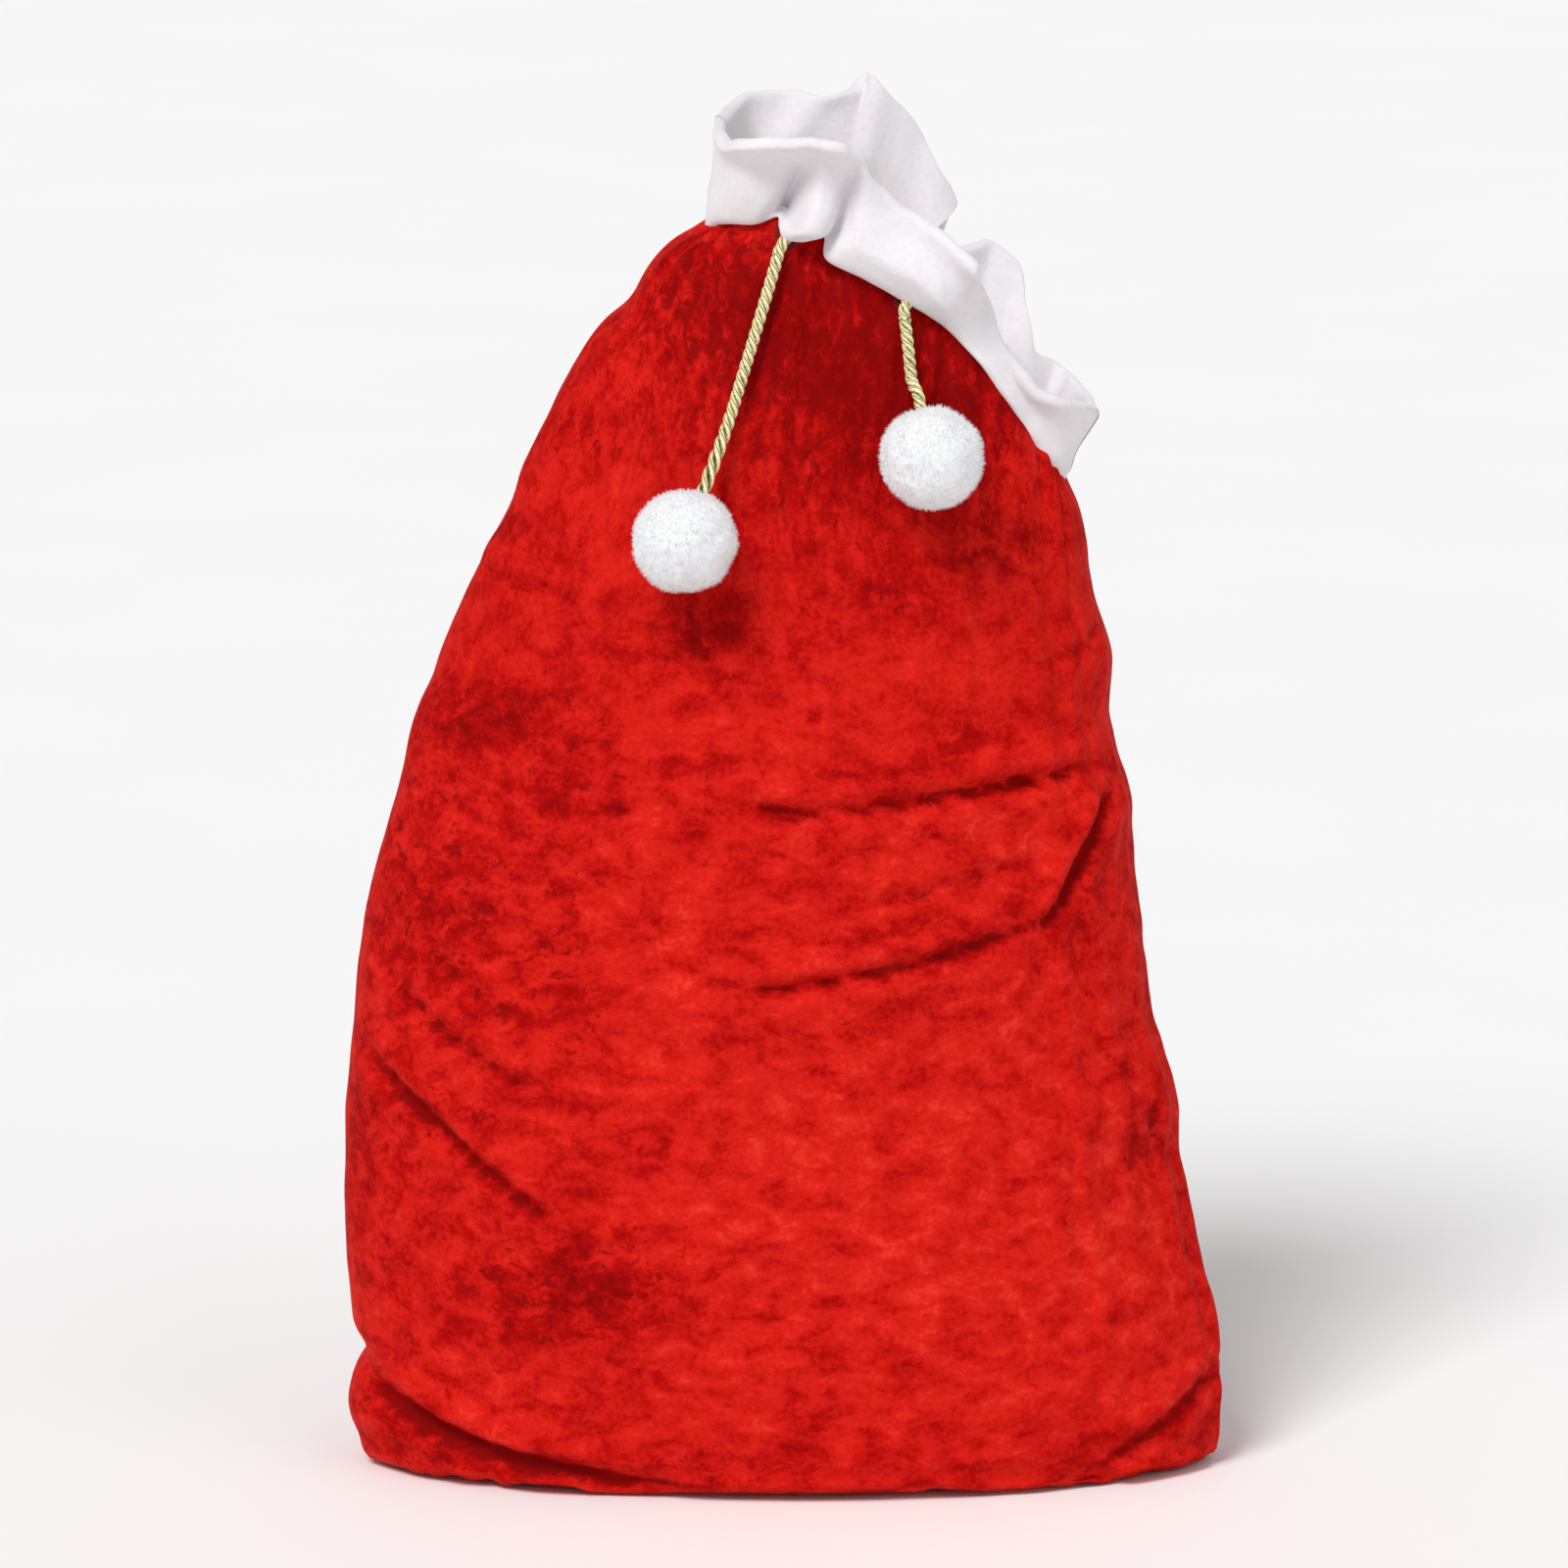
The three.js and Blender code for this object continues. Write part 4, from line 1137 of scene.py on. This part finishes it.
def cuff_foot(angle, side):
    """The line the cuff is sewn along, and the directions out of the mouth across it."""
    foot = wall(np.array([1.0]), angle, side)[0]
    foot[:, 1] = side * MOUTH_DEPTH / 2 * np.sin(angle)
    out = unit(np.cross(MOUTH_UP, np.gradient(foot, axis=0))) * (1 if side < 0 else -1)
    if out[CUFF_COLUMNS // 2, 1] * side < 0:
        out = -out
    foot = foot + np.array([4.5, 0, -4.0]) * (1 - smooth(np.degrees(angle), 0, 38))[:, None]
    return foot, out


def cuff_outside(folds, u, foot, out, angle, side):
    """The cuff's outer layer, from where it is tucked under at the foot up to its upper edge."""
    hang, recess = np.split(centripetal([f[:3] for f in folds], u)[:, 1:], 2, axis=1)
    middle = centripetal([f[3] for f in folds], u)
    edge = centripetal([f[4] for f in folds], u)
    full = 0.15 + 0.85 * np.sin(angle)[:, None] ** 0.7
    edge = edge - unit(edge - middle) * (CUFF_THICKNESS / 2)
    tuck = foot + out * 0.5 - MOUTH_UP * (hang * 0.75)
    roll = foot + out * (6.0 + 0.4 * hang) * full - MOUTH_UP * hang
    knee = roll * 0.5 + middle * 0.5 + out * 1.5
    under = edge * 0.62 + middle * 0.38 - np.array([0, side, 0]) * recess
    spine = np.stack([tuck, roll, knee, middle, under, edge])
    rows = np.linspace(0, 1, CUFF_ROWS + 1)
    outer = np.stack([centripetal(spine[:, c], rows) for c in range(CUFF_COLUMNS + 1)], 1)
    return soften(outer, 3)


def fold_double(outer, foot, out, angle, side):
    """The whole of the folded cuff: its outer layer, its rounded upper edge and its inner layer."""
    n = unit(soften(normals(outer, side), 12, keep_ends=False))
    at_seam = 1 - smooth(np.sin(angle), 0.0, 0.35)[None, :, None]
    n = unit(n * (1 - at_seam) + out[None] * at_seam)
    half = CUFF_THICKNESS / 2
    tip = unit(np.gradient(outer, axis=0))[-1]
    turn = np.linspace(0, np.pi, 7)[1:-1]
    cap = [outer[-1] - n[-1] * half * (1 - math.cos(a)) + tip * half * math.sin(a) for a in turn]
    inner = (outer - n * CUFF_THICKNESS)[::-1][:-2]
    lining = foot - out * 9.0 - MOUTH_UP * 4.0
    hem = foot - out * 7.0 - MOUTH_UP * 12.0
    return soften(np.concatenate([outer, np.array(cap), inner, lining[None], hem[None]]), 2)


def cuff_half(name, side):
    """The front or the back half of the plush cuff, rumpled a little."""
    folds = CUFF_FOLDS[name]
    u = np.linspace(0, 1, CUFF_COLUMNS + 1)
    angle = np.radians(np.clip(centripetal([f[:3] for f in folds], u)[:, 0], 0, 180))
    foot, out = cuff_foot(angle, side)
    p = fold_double(cuff_outside(folds, u, foot, out, angle, side), foot, out, angle, side)
    rumple = noise3(p.reshape(-1, 3), 26.0, 3.1, 2).reshape(p.shape[:2])
    reach = smooth(np.arange(len(p)), 1, 6)[:, None]
    p = p + (out * ruffle(name, u)[:, None])[None] * rise_of(len(p))[:, None, None]
    p = p + np.array([0.5, side * 0.6, 0.6]) * (rumple * 2.2 * reach)[..., None]
    p[:, [0, -1], 1] = -side * CUFF_OVERLAP
    faces = grid_faces(len(p), CUFF_COLUMNS + 1, flip=side > 0)
    made = mesh_object(f"cuff_{name}_plush", p.reshape(-1, 3), faces)
    subdivide(made)
    made.data.materials.append(white_plush())
    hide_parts(f"cuff_{name}")
    return made


def blend_cuff(piece, side):
    """Bakes the cuff's transform into its mesh."""
    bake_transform(piece)


# ---- Pompoms ---------------------------------------------------------------------------------------
HAIRS = 9000


def icosphere(level):
    """A ball's points and triangles."""
    work = bmesh.new()
    bmesh.ops.create_icosphere(work, subdivisions=level, radius=1.0)
    points = np.array([v.co for v in work.verts])
    faces = [[v.index for v in f.verts] for f in work.faces]
    work.free()
    return points, faces


def fluff_strands(centre, seed, first):
    """Short bent hairs all over a ball: points in mm, and faces numbered from first."""
    rng = np.random.default_rng(int(seed * 10) + 3)
    direction = unit(rng.normal(size=(HAIRS, 3)))
    root_r = POMPOM / 2 - 2.6 + 1.5 * noise3(direction, 0.55, seed, 3)
    bend = unit(rng.normal(size=(HAIRS, 3))) * 0.55
    length = rng.uniform(1.4, 3.4, HAIRS)
    across = unit(np.cross(direction, rng.normal(size=(HAIRS, 3))))
    width = rng.uniform(0.13, 0.24, HAIRS)
    root = centre + direction * root_r[:, None]
    mid = root + unit(direction + 0.4 * bend) * (length * 0.55)[:, None]
    tip = mid + unit(direction + 1.3 * bend) * (length * 0.45)[:, None]
    w = across * width[:, None]
    points = np.stack([root - w, root + w, mid + w * 0.7, mid - w * 0.7, tip], 1).reshape(-1, 3)
    faces = []
    for b in range(first, first + 5 * HAIRS, 5):
        faces += [[b, b + 1, b + 2, b + 3], [b + 3, b + 2, b + 4]]
    return points, faces


def add_pompom(side, seed):
    """A soft ball with a fluffed surface, drawn in where the cord goes in."""
    tail = np.array(CORD_ENDS[side]["tail"][-2:], float)
    pole = unit(tail[0] - tail[1])
    centre = tail[1] - pole * (POMPOM / 2 + 2.4)
    unit_ball, faces = icosphere(6)
    lumps = noise3(unit_ball, 0.55, seed, 3)
    fluff = noise3(unit_ball, 0.12, seed + 5, 3)
    radius = POMPOM / 2 - 2.0 + 1.5 * lumps + 0.5 * fluff - 3.0 * smooth(unit_ball @ pole, 0.93, 1.0)
    ball = centre + unit_ball * radius[:, None]
    strands, blades = fluff_strands(centre, seed, len(ball))
    made = mesh_object(f"{side}_pompom_ball", np.vstack([ball, strands]), faces + blades)
    made.data.materials.append(pompom_fluff())
    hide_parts(f"{side}_pompom_cover", f"{side}_pompom_filling", f"{side}_cord_knot",
                f"{side}_pompom_tie")
    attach(made, f"{side}_pompom")
    return made


# ---- Stage -----------------------------------------------------------------------------------------
FLOOR_HALF_WIDTH = 60.0
WORLD_STRENGTH = 0.42
LIGHTS = [  # name, rotation in degrees, strength, and the angle it is seen under, in degrees
    ("key", (42, 0, -28), 2.1, 22),
    ("fill", (55, 0, 50), 0.35, 50),
]


def add_stage():
    """A plain pale floor, a white surround and two soft lights."""
    half = FLOOR_HALF_WIDTH
    corners = [(-half, -half, 0), (half, -half, 0), (half, half, 0), (-half, half, 0)]
    mesh = bpy.data.meshes.new("floor")
    mesh.from_pydata(corners, [], [(0, 1, 2, 3)])
    floor = bpy.data.objects.new("floor", mesh)
    bpy.context.scene.collection.objects.link(floor)
    m = Nodes("pale_floor")
    tone = m.noise(m.coords(), 3, 2)
    colour = m.ramp(tone, [(0.3, (0.955, 0.955, 0.955)), (0.7, (0.97, 0.97, 0.97))])
    floor.data.materials.append(m.finish(Base_Color=colour, Roughness=0.9, Specular_IOR_Level=0.1))
    world = bpy.data.worlds.new("studio")
    world.use_nodes = True
    world.node_tree.nodes["Background"].inputs[0].default_value = (1, 1, 1, 1)
    world.node_tree.nodes["Background"].inputs[1].default_value = WORLD_STRENGTH
    bpy.context.scene.world = world
    for name, rotation, strength, angle in LIGHTS:
        light = bpy.data.lights.new(name, "SUN")
        light.energy = strength
        light.angle = math.radians(angle)
        lamp = bpy.data.objects.new(name, light)
        lamp.rotation_euler = [math.radians(r) for r in rotation]
        bpy.context.scene.collection.objects.link(lamp)


def join_cord(side, cord, pompom):
    """Bakes the transforms of one end of the cord, its lead and its tail, into their meshes."""
    short, hanging, path, turn, joint = cord
    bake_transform(short)
    down = path[0] + unit(path[-1] - path[0]) * min(60, 0.8 * line_length(path))
    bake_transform(hanging)
    round(line_length(path) * MM, 3)
    [tuple(q * MM) for q in path]


# ---- The whole sack --------------------------------------------------------------------------------
bpy.context.scene.view_settings.view_transform = "Standard"
add_camera()
cords = {side: add_cord(side) for side in CORD_ENDS}
velvet = add_velvet()
cuffs = {name: cuff_half(name, side) for name, side in SIDES}
pompoms = {side: add_pompom(side, seed) for side, seed in (("left", 1.3), ("right", 4.7))}
add_seams()
for name, side in SIDES:
    add_channel_tape(name, side)
add_channel_cord("drawcord_back", 1)
for side in CORD_ENDS:
    add_channel_cord(f"drawcord_front_{side}", -1, lead=np.array(CORD_ENDS[side]["lead"], float))
for side in CORD_ENDS:
    add_buttonhole(side, velvet["front"])
for name, side in SIDES:
    blend_velvet(velvet[name], side)
    blend_cuff(cuffs[name], side)
for side in CORD_ENDS:
    join_cord(side, cords[side], pompoms[side])
add_stage()
